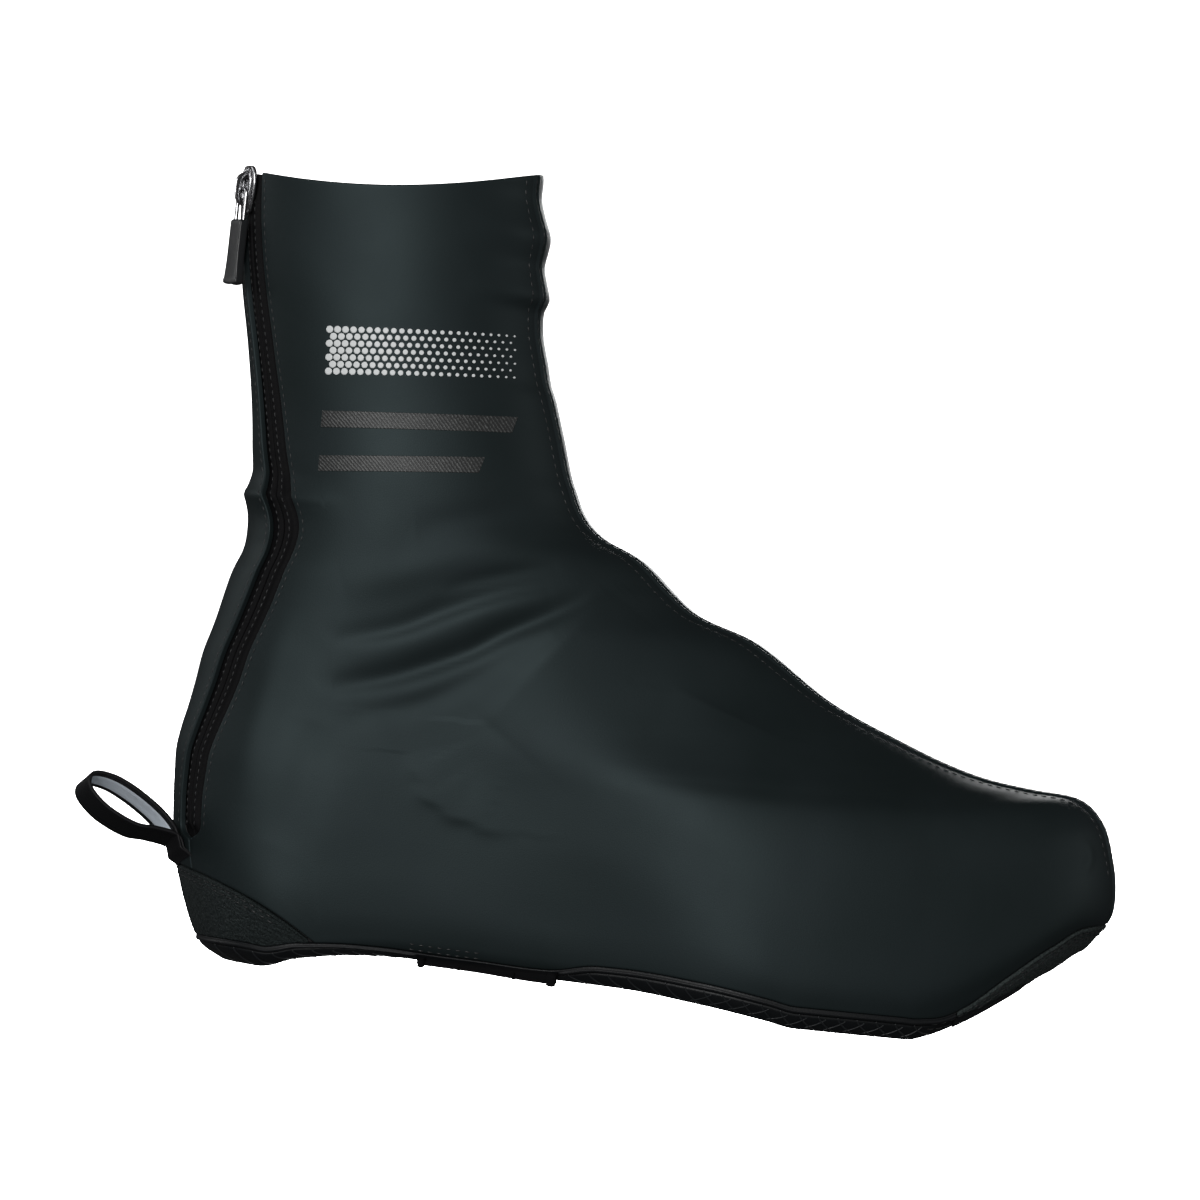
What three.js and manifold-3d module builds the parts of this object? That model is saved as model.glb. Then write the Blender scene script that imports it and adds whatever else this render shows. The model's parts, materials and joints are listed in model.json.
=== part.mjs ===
// A zipped cycling overshoe for the right foot, standing empty on its sole.
// Millimetres: +X to the toe, +Y to the inner side of the foot, +Z up.
// Until the last lines, x = 0 is the back of the heel, y = 0 its middle and z = 0 the floor.

import * as THREE from 'three';
import { mergeVertices } from 'three/addons/utils/BufferGeometryUtils.js';
import Module from 'manifold-3d';

const wasm = await Module();
wasm.setup();

// Driving dimensions of the foot
const LENGTH = 299.5; // back of the heel to the tip of the toe
const BALL_WIDTH = 101;
const WAIST_WIDTH = 70;
const HEEL_WIDTH = 71;
const HEEL_HEIGHT = 142; // floor to the ankle at the back
const INSTEP_HEIGHT = 151; // floor to the ankle at the front
const TOE_SPRING = 28.8; // floor to the underside of the toe
const ARCH_RISE = 7.7; // floor to the underside of the waist
const TOE_SHIFT = 10; // the toe lies this far to the inner side
const BALL_SKEW = 0.045; // the outer ball lies further back than the inner one, share of a section

// Driving dimensions of the shaft
const SHAFT_DEPTH = 94.4; // back to front at the collar
const SHAFT_WIDTH = 64;
const SHAFT_HEIGHT = 104.5; // ankle to the collar
const COLLAR_DIP = 5.7; // the collar is this much lower at its sides

// Walls, panels and gaps
const WALL = 1.7;
const SOLE_WALL = 2.4;
const GAP = 0.3; // between neighbouring pieces
const SEAM_HEIGHT = 6.8; // sole edge up to the seam with the upper
const HEEL_PATCH_HEIGHT = 30.5;
const HEEL_PATCH_LENGTH = 52.5;
const TOE_PATCH_LENGTH = 48;
const LIP = 0.7; // raised edge of the sole along its seam
const LIP_HEIGHT = 2;
const RIDGE = 0.6; // raised seam down the front
const RIDGE_WIDTH = 3.2;

// Openings below
const CLEAT_LENGTH = 60;
const CLEAT_WIDTH = 50;
const CLEAT_FRONT = 230; // from the heel to the front of the cleat opening
const CLEAT_CORNER = 16;
const HEEL_HOLE_LENGTH = 38;
const HEEL_HOLE_WIDTH = 32;
const HEEL_HOLE_BACK = 30; // from the heel to the back of its opening
const HEEL_HOLE_CORNER = 12;

// Strap under the arch
const STRAP_WIDTH = 43;
const STRAP_BACK = 83.6; // from the heel to its back edge
const STRAP_THICKNESS = 1.2;
const STRAP_HEIGHT = 8.6; // floor to its ends

// Zip
const SLOT_WIDTH = 12;
const TAPE_WIDTH = 16;
const TAPE_THICKNESS = 0.8;
const TAPE_TOP = -WALL - 2 * GAP; // under the outer surface, clear of the wall's flat faces
const COIL_WIDTH = 5;
const COIL_HEIGHT = 1.8;
const ZIP_START = 5.2; // section number at its lower end
const ZIP_INSET = 0.05; // sections that the zip stops short of the collar and of the slot's end
const SLIDER_DROP = 6.8; // collar down to the middle of the slider
const SLIDER_LENGTH = 15;
const SLIDER_WIDTH = 8.6;
const SLIDER_THICKNESS = 1.3;
const BRIDGE_LENGTH = 8.6;
const BRIDGE_WIDTH = 2.4;
const BRIDGE_HEIGHT = 3.6; // above the slider's plate
const BRIDGE_METAL = 0.9;
const LINK_RADIUS = 0.65; // of its wire
const LINK_WIDTH = 5.2; // between the middles of its side wires
const LINK_LENGTH = 12; // hinge to the middle of its lower wire
const TAB_LENGTH = 20;
const TAB_WIDTH = 7.2;
const TAB_FOOT_WIDTH = 8.8;
const TAB_THICKNESS = 3;
const TAB_OVERLAP = 2.4; // how far it covers the link

// Loop at the heel
const LOOP_REACH = 32;
const LOOP_WIDTH = 14;
const LOOP_THICKNESS = 1.2;
const LOOP_ROOT = 31; // floor to its sewn end
const LOOP_RISE = 22; // sewn end to the top of the loop
const LOOP_OFFSET = 12; // to the outer side of the heel's middle
const LOOP_ROLL = 19; // degrees about its own length

// How finely the forms are divided
const AROUND = 42;
const SECTION_STEPS = [0, 1, 2, 3, 4, 5, 6, 7, 8, 9, 9.5, 10, 10.5, 11, 11.5, 12, 12.5, 13,
  14, 15, 15.5, 16, 16.5, 17, 18, 19, 20, 21, 22];
const SEAM_STEPS = 56;
const SEAM_MARGIN = 20; // the seams' cutters run past the heel and the toe
const REACH = 400; // cutters pass right through the shoe

// Underside. along: share of the length; arch, spring: shares of ARCH_RISE and TOE_SPRING.
const UNDERSIDE = [
  // along, arch, spring
  [0.000, 0.00, 0.00],
  [0.114, 0.00, 0.00],
  [0.154, 0.50, 0.00],
  [0.217, 0.91, 0.00],
  [0.257, 1.00, 0.00],
  [0.334, 0.94, 0.00],
  [0.407, 0.80, 0.00],
  [0.491, 0.78, 0.00],
  [0.578, 0.53, 0.00],
  [0.621, 0.32, 0.00],
  [0.645, 0.18, 0.00],
  [0.673, 0.00, 0.00],
  [0.790, 0.00, 0.00],
  [0.811, 0.00, 0.06],
  [0.851, 0.00, 0.27],
  [0.891, 0.00, 0.54],
  [0.932, 0.00, 0.83],
  [0.968, 0.00, 1.00],
  [1.000, 0.00, 1.00],
];

// Seam over the underside. along: share of the length; rise: share of SEAM_HEIGHT.
const SEAM = [
  // along, rise
  [0.000, 0.92],
  [0.087, 1.03],
  [0.175, 0.62],
  [0.255, 0.36],
  [0.300, 0.30],
  [0.414, 0.40],
  [0.465, 0.86],
  [0.620, 1.00],
  [0.785, 1.00],
  [0.836, 0.56],
  [0.890, 0.92],
  [0.940, 0.95],
  [1.000, 1.75],
];

// Foot, from the edge of the sole up to the ankle. Places along are shares of LENGTH; backUp and
// frontUp are shares of HEEL_HEIGHT and INSTEP_HEIGHT; follow says how much the section bends with
// the underside; heelAt and ballAt say where its round ends begin; heel, waist and ball are shares
// of those widths; turn says how much of the toe's shift it has.
const FOOT = [
  // back, backUp, front, frontUp, follow, heelAt, ballAt, heel, waist, ball, turn
  [0.0710, 0.0000, 0.9560, 0.0000, 1.00, 0.125, 0.680, 0.85, 0.84, 0.90, 1.00],
  [0.0500, 0.0240, 0.9740, 0.0210, 1.00, 0.125, 0.680, 0.92, 0.92, 0.95, 1.00],
  [0.0410, 0.0500, 0.9860, 0.0510, 1.00, 0.125, 0.680, 0.95, 0.96, 0.98, 1.00],
  [0.0300, 0.0990, 0.9985, 0.1010, 0.95, 0.125, 0.680, 0.98, 0.99, 1.00, 1.00],
  [0.0180, 0.1690, 1.0000, 0.1900, 0.80, 0.125, 0.675, 1.00, 1.00, 0.99, 1.00],
  [0.0080, 0.2540, 0.9930, 0.2960, 0.60, 0.130, 0.665, 1.00, 1.00, 0.97, 1.00],
  [0.0030, 0.3380, 0.9800, 0.3960, 0.42, 0.135, 0.650, 1.00, 1.00, 0.93, 1.00],
  [0.0010, 0.4010, 0.9520, 0.4710, 0.28, 0.140, 0.625, 0.99, 0.99, 0.88, 0.95],
  [0.0000, 0.4510, 0.9050, 0.5090, 0.18, 0.150, 0.590, 0.98, 0.98, 0.82, 0.85],
  [0.0030, 0.5000, 0.8370, 0.5470, 0.10, 0.170, 0.560, 0.97, 0.97, 0.76, 0.70],
  [0.0080, 0.5490, 0.7640, 0.5970, 0.05, 0.190, 0.540, 0.96, 0.96, 0.71, 0.55],
  [0.0130, 0.6060, 0.6810, 0.6670, 0.00, 0.220, 0.510, 0.95, 0.95, 0.68, 0.40],
  [0.0180, 0.6760, 0.6000, 0.7700, 0.00, 0.260, 0.490, 0.95, 0.95, 0.66, 0.25],
  [0.0290, 0.7610, 0.5290, 0.8200, 0.00, 0.310, 0.480, 0.96, 0.96, 0.67, 0.10],
  [0.0380, 0.8450, 0.4700, 0.9130, 0.00, 0.370, 0.480, 0.97, 0.98, 0.68, 0.00],
  [0.0490, 0.9230, 0.4230, 0.9540, 0.00, 0.430, 0.490, 0.99, 1.00, 0.70, 0.00],
  [0.0500, 1.0000, 0.3980, 1.0000, 0.00, 0.500, 0.500, 1.00, 1.01, 0.70, 0.00],
];

// Shaft, from the ankle up to the collar. back and front are shares of SHAFT_DEPTH, backUp and
// frontUp of SHAFT_HEIGHT above the ankle, wide of SHAFT_WIDTH.
const SHAFT = [
  // back, backUp, front, frontUp, wide
  [0.141, 0.155, 1.210, 0.110, 1.09],
  [0.125, 0.300, 1.166, 0.240, 1.07],
  [0.087, 0.485, 1.100, 0.415, 1.04],
  [0.046, 0.670, 1.064, 0.605, 1.02],
  [0.021, 0.840, 1.046, 0.805, 1.00],
  [0.009, 1.000, 1.009, 1.000, 1.00],
];

// Zip. section: number of a foot or shaft section; aside: share of HEEL_WIDTH to the outer side.
const ZIP = [
  // section, aside
  [5.0, 0.27],
  [8.0, 0.285],
  [11.0, 0.30],
  [15.0, 0.33],
  [17.0, 0.26],
  [19.0, 0.21],
  [22.0, 0.165],
];

// Raised seam seen from above. along: share of LENGTH; aside: share of BALL_WIDTH to the inner side.
const RIDGE_ROUTE = [
  // along, aside
  [0.19, -0.09],
  [0.42, -0.09],
  [0.60, -0.05],
  [0.80, -0.01],
  [1.10, 0.02],
];

// Loop in its own plane. out: share of LOOP_REACH; up: share of LOOP_RISE above its sewn end.
const LOOP = [
  // out, up
  [0.000, 0.000],
  [0.000, 0.150],
  [0.080, 0.250],
  [0.275, 0.315],
  [0.490, 0.363],
  [0.770, 0.560],
  [0.950, 0.752],
  [1.000, 0.895],
  [0.930, 1.000],
  [0.730, 0.943],
  [0.510, 0.776],
  [0.255, 0.535],
  [0.095, 0.345],
  [0.045, 0.215],
  [0.045, 0.000],
];

const lerp = THREE.MathUtils.lerp;

// Slope of a table's column at a row, flat at a hill or a valley, so that a level stretch stays level.
function slopeAt(table, row, column) {
  if (row === 0 || row === table.length - 1) return 0;
  const rise = (low) => (table[low + 1][column] - table[low][column]) / (table[low + 1][0] - table[low][0]);
  const before = rise(row - 1);
  const after = rise(row);
  return before * after <= 0 ? 0 : (2 * before * after) / (before + after);
}

// Value of a table's column at a place between its rows.
function readTable(table, place, column) {
  const clamped = THREE.MathUtils.clamp(place, table[0][0], table[table.length - 1][0]);
  let row = 0;
  while (row < table.length - 2 && table[row + 1][0] < clamped) row += 1;
  const span = table[row + 1][0] - table[row][0];
  const s = (clamped - table[row][0]) / span;
  const startBend = slopeAt(table, row, column) * span;
  const endBend = slopeAt(table, row + 1, column) * span;
  const s2 = s * s;
  const s3 = s2 * s;
  return table[row][column] * (2 * s3 - 3 * s2 + 1) + startBend * (s3 - 2 * s2 + s)
    + table[row + 1][column] * (3 * s2 - 2 * s3) + endBend * (s3 - s2);
}

function underside(x) {
  const along = x / LENGTH;
  return readTable(UNDERSIDE, along, 1) * ARCH_RISE + readTable(UNDERSIDE, along, 2) * TOE_SPRING;
}

function seamHeight(x) {
  return underside(x) + readTable(SEAM, x / LENGTH, 1) * SEAM_HEIGHT;
}

// Every section in millimetres, numbered from the edge of the sole to the collar.
const SECTIONS = [
  ...FOOT.map(([back, backUp, front, frontUp, follow, heelAt, ballAt, heel, waist, ball, turn]) => ({
    back: back * LENGTH,
    backUp: backUp * HEEL_HEIGHT,
    front: front * LENGTH,
    frontUp: frontUp * INSTEP_HEIGHT,
    follow,
    heelAt,
    ballAt,
    heel: (heel * HEEL_WIDTH) / 2,
    waist: (waist * WAIST_WIDTH) / 2,
    ball: (ball * BALL_WIDTH) / 2,
    turn,
    dip: 0,
  })),
  ...SHAFT.map(([back, backUp, front, frontUp, wide]) => ({
    back: back * SHAFT_DEPTH,
    backUp: HEEL_HEIGHT + backUp * SHAFT_HEIGHT,
    front: front * SHAFT_DEPTH,
    frontUp: INSTEP_HEIGHT + frontUp * SHAFT_HEIGHT,
    follow: 0,
    heelAt: 0.5,
    ballAt: 0.5,
    heel: (wide * SHAFT_WIDTH) / 2,
    waist: (wide * SHAFT_WIDTH) / 2,
    ball: (wide * SHAFT_WIDTH) / 2,
    turn: 0,
    dip: COLLAR_DIP * backUp ** 3,
  })),
];
const COLLAR = SECTIONS.length - 1;

// A section between the numbered ones, on a smooth curve through its four neighbours.
function sectionAt(number) {
  const low = THREE.MathUtils.clamp(Math.floor(number), 0, COLLAR - 1);
  const s = number - low;
  const near = [-1, 0, 1, 2].map((step) => SECTIONS[THREE.MathUtils.clamp(low + step, 0, COLLAR)]);
  const blended = {};
  for (const key of Object.keys(SECTIONS[0])) {
    const [before, start, end, after] = near.map((section) => section[key]);
    const startBend = (end - before) / 2;
    const endBend = (after - start) / 2;
    blended[key] = (2 * s ** 3 - 3 * s ** 2 + 1) * start + (s ** 3 - 2 * s ** 2 + s) * startBend
      + (3 * s ** 2 - 2 * s ** 3) * end + (s ** 3 - s ** 2) * endBend;
  }
  return blended;
}

// Half width of a section at a share u of its length, on the inner side (+1) or the outer (-1).
function halfWidth(section, u, side) {
  const skew = BALL_SKEW * section.turn * side;
  const ballAt = section.ballAt + skew;
  const waistAt = (section.heelAt + ballAt) / 2;
  const ease = (s) => (1 - Math.cos(Math.PI * s)) / 2;
  if (u < section.heelAt) {
    return section.heel * Math.sqrt(Math.max(0, 1 - (1 - u / section.heelAt) ** 2));
  }
  if (u < waistAt) {
    return lerp(section.heel, section.waist, ease((u - section.heelAt) / (waistAt - section.heelAt)));
  }
  if (u < ballAt) {
    return lerp(section.waist, section.ball, ease((u - waistAt) / (ballAt - waistAt)));
  }
  const round = 2 + 0.25 * section.turn;
  return section.ball * Math.max(0, 1 - ((u - ballAt) / (1 - ballAt)) ** round) ** (1 / round);
}

// A point of the outer surface. turn runs once round the section, from the back by the inner side.
function surfacePoint(number, turn) {
  const section = sectionAt(number);
  const u = (1 - Math.cos(turn)) / 2;
  const side = Math.sin(turn) >= 0 ? 1 : -1;
  const x = lerp(section.back, section.front, u);
  const toeward = THREE.MathUtils.smoothstep(u, 0.45, 1);
  const y = side * halfWidth(section, u, side) + TOE_SHIFT * section.turn * toeward;
  const z = lerp(section.backUp, section.frontUp, u) + section.follow * underside(x)
    - section.dip * Math.sin(turn) ** 2;
  return new THREE.Vector3(x, y, z);
}

function surfaceNormal(number, turn) {
  const step = 0.02;
  const up = surfacePoint(Math.min(number + step, COLLAR), turn)
    .sub(surfacePoint(Math.max(number - step, 0), turn));
  const round = surfacePoint(number, turn + step).sub(surfacePoint(number, turn - step));
  return up.cross(round).normalize();
}

// A point of the outer surface moved out by a lift, or in where the lift is below zero.
function liftedPoint(number, turn, lift) {
  return surfacePoint(number, turn).addScaledVector(surfaceNormal(number, turn), lift);
}

// The lowest section is moved both down and out, so that wall and underside are equally thick.
function liftedEdge(turn, lift) {
  const outward = surfaceNormal(0, turn);
  const corner = outward.clone().add(new THREE.Vector3(0, 0, -1)).divideScalar(1 - outward.z);
  return surfacePoint(0, turn).addScaledVector(corner, lift);
}

function geometryOf(points, triangles) {
  const geometry = new THREE.BufferGeometry();
  const values = new Float32Array(points.length * 3);
  points.forEach((point, index) => point.toArray(values, index * 3));
  geometry.setAttribute('position', new THREE.BufferAttribute(values, 3));
  geometry.setIndex(triangles);
  return geometry;
}

function solidFrom(geometry) {
  const bare = geometry.clone();
  bare.deleteAttribute('normal');
  bare.deleteAttribute('uv');
  const merged = mergeVertices(bare, 1e-4);
  return new wasm.Manifold(new wasm.Mesh({
    numProp: 3,
    vertProperties: new Float32Array(merged.attributes.position.array),
    triVerts: new Uint32Array(merged.index.array),
  }));
}

// Closes rings of equal length into a skin, with ladders of faces across the first and last ring.
function skinOf(rings) {
  const count = rings[0].length;
  const triangles = [];
  for (let ring = 0; ring < rings.length - 1; ring += 1) {
    for (let k = 0; k < count; k += 1) {
      const a = ring * count + k;
      const b = ring * count + ((k + 1) % count);
      triangles.push(a, a + count, b + count, a, b + count, b);
    }
  }
  const top = (rings.length - 1) * count;
  for (let k = 0; k < count / 2; k += 1) {
    const mirror = (count - k) % count;
    const next = count - k - 1;
    if (k + 1 < count / 2) triangles.push(k, k + 1, next);
    if (k > 0) triangles.push(k, next, mirror);
    if (k + 1 < count / 2) triangles.push(top + k, top + next, top + k + 1);
    if (k > 0) triangles.push(top + k, top + mirror, top + next);
  }
  return geometryOf(rings.flat(), triangles);
}

// The whole shoe's form, closed at the collar. Its surface is lifted, and it may run on upwards.
function shoeForm(lift, edgeLift = lift, above = 0) {
  const turns = Array.from({ length: AROUND }, (_, k) => (2 * Math.PI * k) / AROUND);
  const rings = SECTION_STEPS.map((number) => turns.map((turn) => (
    number === 0 ? liftedEdge(turn, edgeLift) : liftedPoint(number, turn, lift)
  )));
  if (above > 0) {
    const rise = new THREE.Vector3(0, 0, above);
    rings.push(rings[rings.length - 1].map((point) => point.clone().add(rise)));
  }
  return solidFrom(skinOf(rings));
}

// A prism right across the shoe, from an outline of [x, z] pairs seen from its side.
function sideCutter(outline) {
  const shape = new THREE.Shape(outline.map(([x, z]) => new THREE.Vector2(x, z)));
  const prism = new THREE.ExtrudeGeometry(shape, { depth: REACH, bevelEnabled: false });
  return solidFrom(prism.translate(0, 0, -REACH / 2).rotateX(Math.PI / 2));
}

// A prism from below the floor to above the collar, from an outline of [x, y] pairs seen from above.
function plumbCutter(outline) {
  const shape = new THREE.Shape(outline.map(([x, y]) => new THREE.Vector2(x, y)));
  const prism = new THREE.ExtrudeGeometry(shape, { depth: REACH, bevelEnabled: false });
  return solidFrom(prism.translate(0, 0, -REACH / 4));
}

// Everything below the seam, moved up by a shift.
function belowSeam(shift) {
  const outline = [[-SEAM_MARGIN, -REACH / 4]];
  for (let k = 0; k <= SEAM_STEPS; k += 1) {
    const x = lerp(-SEAM_MARGIN, LENGTH + SEAM_MARGIN, k / SEAM_STEPS);
    outline.push([x, seamHeight(x) + shift]);
  }
  outline.push([LENGTH + SEAM_MARGIN, -REACH / 4]);
  return sideCutter(outline.reverse());
}

// Everything behind a place along the shoe.
function behind(x) {
  return sideCutter([[-REACH, -REACH], [x, -REACH], [x, REACH], [-REACH, REACH]]);
}

// The heel patch seen from the side, with its edge moved by a shift.
function heelPatchCutter(shift) {
  const edge = new THREE.QuadraticBezierCurve(
    new THREE.Vector2(-SEAM_MARGIN, HEEL_PATCH_HEIGHT + shift),
    new THREE.Vector2(HEEL_PATCH_LENGTH * 0.4, HEEL_PATCH_HEIGHT + shift),
    new THREE.Vector2(HEEL_PATCH_LENGTH + shift, seamHeight(HEEL_PATCH_LENGTH) - 1),
  );
  const outline = edge.getPoints(10).map((point) => [point.x, point.y]);
  return sideCutter([...outline, [-SEAM_MARGIN, -REACH / 4]].reverse());
}

const TOE_PATCH_START = LENGTH - TOE_PATCH_LENGTH;

// Wall of the whole shoe, open at the collar.
const outerForm = shoeForm(0);
const innerForm = shoeForm(-WALL, -SOLE_WALL, 40);
const shell = outerForm.subtract(innerForm);
const seamLow = belowSeam(-GAP / 2);
const seamHigh = belowSeam(GAP / 2);

// Round-cornered hole seen from above.
function holeCutter(from, to, width, corner) {
  const shape = new THREE.Shape();
  const half = width / 2;
  shape.moveTo(from + corner, -half);
  shape.lineTo(to - corner, -half);
  shape.absarc(to - corner, -half + corner, corner, -Math.PI / 2, 0);
  shape.lineTo(to, half - corner);
  shape.absarc(to - corner, half - corner, corner, 0, Math.PI / 2);
  shape.lineTo(from + corner, half);
  shape.absarc(from + corner, half - corner, corner, Math.PI / 2, Math.PI);
  shape.lineTo(from, -half + corner);
  shape.absarc(from + corner, -half + corner, corner, Math.PI, 1.5 * Math.PI);
  const depth = ARCH_RISE + 12;
  const prism = new THREE.ExtrudeGeometry(shape, { depth, bevelEnabled: false, curveSegments: 5 });
  return solidFrom(prism.translate(0, 0, -5));
}

// Strap's zone seen from the side, grown by a margin.
function strapZone(margin) {
  const from = STRAP_BACK - margin;
  const to = STRAP_BACK + STRAP_WIDTH + margin;
  const top = STRAP_HEIGHT + margin;
  return sideCutter([[from, -20], [to, -20], [to, top], [from, top]]);
}

function makeSole() {
  const lip = shoeForm(LIP).subtract(innerForm)
    .intersect(seamLow)
    .subtract(belowSeam(-GAP / 2 - LIP_HEIGHT))
    .subtract(strapZone(2 * GAP));
  return shell.intersect(seamLow)
    .add(lip)
    .intersect(behind(TOE_PATCH_START - GAP / 2))
    .subtract(holeCutter(CLEAT_FRONT - CLEAT_LENGTH, CLEAT_FRONT, CLEAT_WIDTH, CLEAT_CORNER))
    .subtract(holeCutter(HEEL_HOLE_BACK, HEEL_HOLE_BACK + HEEL_HOLE_LENGTH, HEEL_HOLE_WIDTH,
      HEEL_HOLE_CORNER));
}

function makeToePatch() {
  return shell.intersect(seamLow).subtract(behind(TOE_PATCH_START + GAP / 2));
}

function makeHeelPatch() {
  return shell.subtract(seamHigh).intersect(heelPatchCutter(-GAP / 2));
}

// Raised seam, a little to the outer side of the shoe's crest, from collar to toe.
function makeFrontRidge() {
  const places = RIDGE_ROUTE.map(([along, aside]) => [along * LENGTH, aside * BALL_WIDTH]);
  const left = places.map(([x, y]) => [x, y + RIDGE_WIDTH / 2]);
  const right = places.map(([x, y]) => [x, y - RIDGE_WIDTH / 2]);
  return shoeForm(RIDGE).subtract(innerForm)
    .subtract(seamHigh)
    .intersect(plumbCutter([...right, ...left.reverse()]));
}

// Where the zip runs on the surface, and the turn that lies a distance to one side of it.
function zipTurn(number, aside) {
  const section = sectionAt(number);
  const offset = (readTable(ZIP, number, 1) * HEEL_WIDTH) / section.heel;
  const u = section.heelAt * (1 - Math.sqrt(1 - offset ** 2));
  const middle = -Math.acos(1 - 2 * u);
  const step = 0.02;
  const stretch = surfacePoint(number, middle + step)
    .distanceTo(surfacePoint(number, middle - step)) / (2 * step);
  return middle + aside / stretch;
}

// Lofts an outline of [aside, lift] pairs along the zip, with a station at each ring of the wall.
function alongZip(outline, from, to, above = 0) {
  const stations = [from, ...SECTION_STEPS.filter((number) => number > from && number < to), to];
  const rings = stations.map((number) => (
    outline.map(([aside, lift]) => liftedPoint(number, zipTurn(number, aside), lift))
  ));
  if (above > 0) {
    const rise = new THREE.Vector3(0, 0, above);
    rings.push(rings[rings.length - 1].map((point) => point.clone().add(rise)));
  }
  return prismFrom(rings);
}

// Closes rings of any outline into a solid, its ends filled by three.js' own triangulation.
function prismFrom(rings) {
  const count = rings[0].length;
  const triangles = [];
  for (let ring = 0; ring < rings.length - 1; ring += 1) {
    for (let k = 0; k < count; k += 1) {
      const a = ring * count + k;
      const b = ring * count + ((k + 1) % count);
      triangles.push(a, b, b + count, a, b + count, a + count);
    }
  }
  const first = rings[0];
  const across = first[1].clone().sub(first[0]).normalize();
  const away = new THREE.Vector3().subVectors(rings[1][0], first[0]).normalize();
  const beside = new THREE.Vector3().crossVectors(away, across).normalize();
  const flat = first.map((point) => {
    const offset = point.clone().sub(first[0]);
    return new THREE.Vector2(offset.dot(across), offset.dot(beside));
  });
  const last = (rings.length - 1) * count;
  for (const [a, b, c] of THREE.ShapeUtils.triangulateShape(flat, [])) {
    const face = [flat[a], flat[b], flat[c]];
    const follows = THREE.ShapeUtils.area(face) * THREE.ShapeUtils.area(flat) > 0;
    const [p, q] = follows ? [b, c] : [c, b];
    triangles.push(a, q, p, last + a, last + p, last + q);
  }
  const solid = solidFrom(geometryOf(rings.flat(), triangles));
  if (solid.volume() > 0) return solid;
  const turned = [];
  for (let k = 0; k < triangles.length; k += 3) turned.push(triangles[k], triangles[k + 2], triangles[k + 1]);
  return solidFrom(geometryOf(rings.flat(), turned));
}

function makeUpper() {
  const half = SLOT_WIDTH / 2;
  const deep = -4 * WALL;
  const high = 4 * WALL;
  const outline = [[-half, deep], [half, deep], [half, high], [-half, high]];
  const slot = alongZip(outline, ZIP_START, COLLAR, SEAM_MARGIN);
  const heelZone = heelPatchCutter(GAP / 2);
  return shell.subtract(seamHigh)
    .subtract(heelZone)
    .add(makeFrontRidge())
    .subtract(slot);
}

// One side of the zip: its tape lies behind the wall, and its half of the coil in the slot.
function makeZipHalf(side) {
  const tapeFoot = TAPE_TOP - TAPE_THICKNESS;
  const coilTop = TAPE_TOP + COIL_HEIGHT;
  const outline = [
    [GAP, tapeFoot],
    [TAPE_WIDTH / 4, tapeFoot],
    [TAPE_WIDTH / 2, tapeFoot],
    [TAPE_WIDTH / 2, TAPE_TOP],
    [TAPE_WIDTH / 4, TAPE_TOP],
    [COIL_WIDTH / 2, TAPE_TOP],
    [COIL_WIDTH / 2, coilTop],
    [GAP, coilTop],
  ].map(([aside, lift]) => [aside * side, lift]);
  return alongZip(outline, ZIP_START + ZIP_INSET, COLLAR - ZIP_INSET);
}

function makeStrap() {
  return shoeForm(GAP + STRAP_THICKNESS).subtract(shoeForm(GAP)).intersect(strapZone(0));
}

// Frame of the slider: across to the outer side, up along the zip, and out from the shoe.
const topStep = SECTIONS[COLLAR].backUp - SECTIONS[COLLAR - 1].backUp;
const sliderSection = COLLAR - SLIDER_DROP / topStep;
const sliderTurn = zipTurn(sliderSection, 0);
const sliderSeat = liftedPoint(sliderSection, sliderTurn, TAPE_TOP + COIL_HEIGHT + GAP);
const sliderOut = surfaceNormal(sliderSection, sliderTurn);
const facing = new THREE.Vector3(sliderOut.x, sliderOut.y, 0).normalize();
const sliderAcross = new THREE.Vector3(-facing.y, facing.x, 0);
const sliderUp = new THREE.Vector3().crossVectors(sliderOut, sliderAcross).normalize();

function makeSlider() {
  const half = SLIDER_WIDTH / 2;
  const long = SLIDER_LENGTH / 2;
  const plate = new THREE.Shape();
  plate.moveTo(-half * 0.72, -long);
  plate.lineTo(half * 0.72, -long);
  plate.quadraticCurveTo(half * 0.8, -long * 0.2, half, long * 0.35);
  plate.quadraticCurveTo(half * 0.9, long, 0, long);
  plate.quadraticCurveTo(-half * 0.9, long, -half, long * 0.35);
  plate.quadraticCurveTo(-half * 0.8, -long * 0.2, -half * 0.72, -long);
  const bevel = SLIDER_THICKNESS * 0.3;
  const plateSolid = solidFrom(new THREE.ExtrudeGeometry(plate, {
    depth: SLIDER_THICKNESS - 2 * bevel,
    bevelThickness: bevel,
    bevelSize: bevel,
    bevelOffset: -bevel,
    bevelSegments: 1,
    curveSegments: 5,
  }).translate(0, 0, bevel));
  return plateSolid.add(makeBridge());
}

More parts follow.
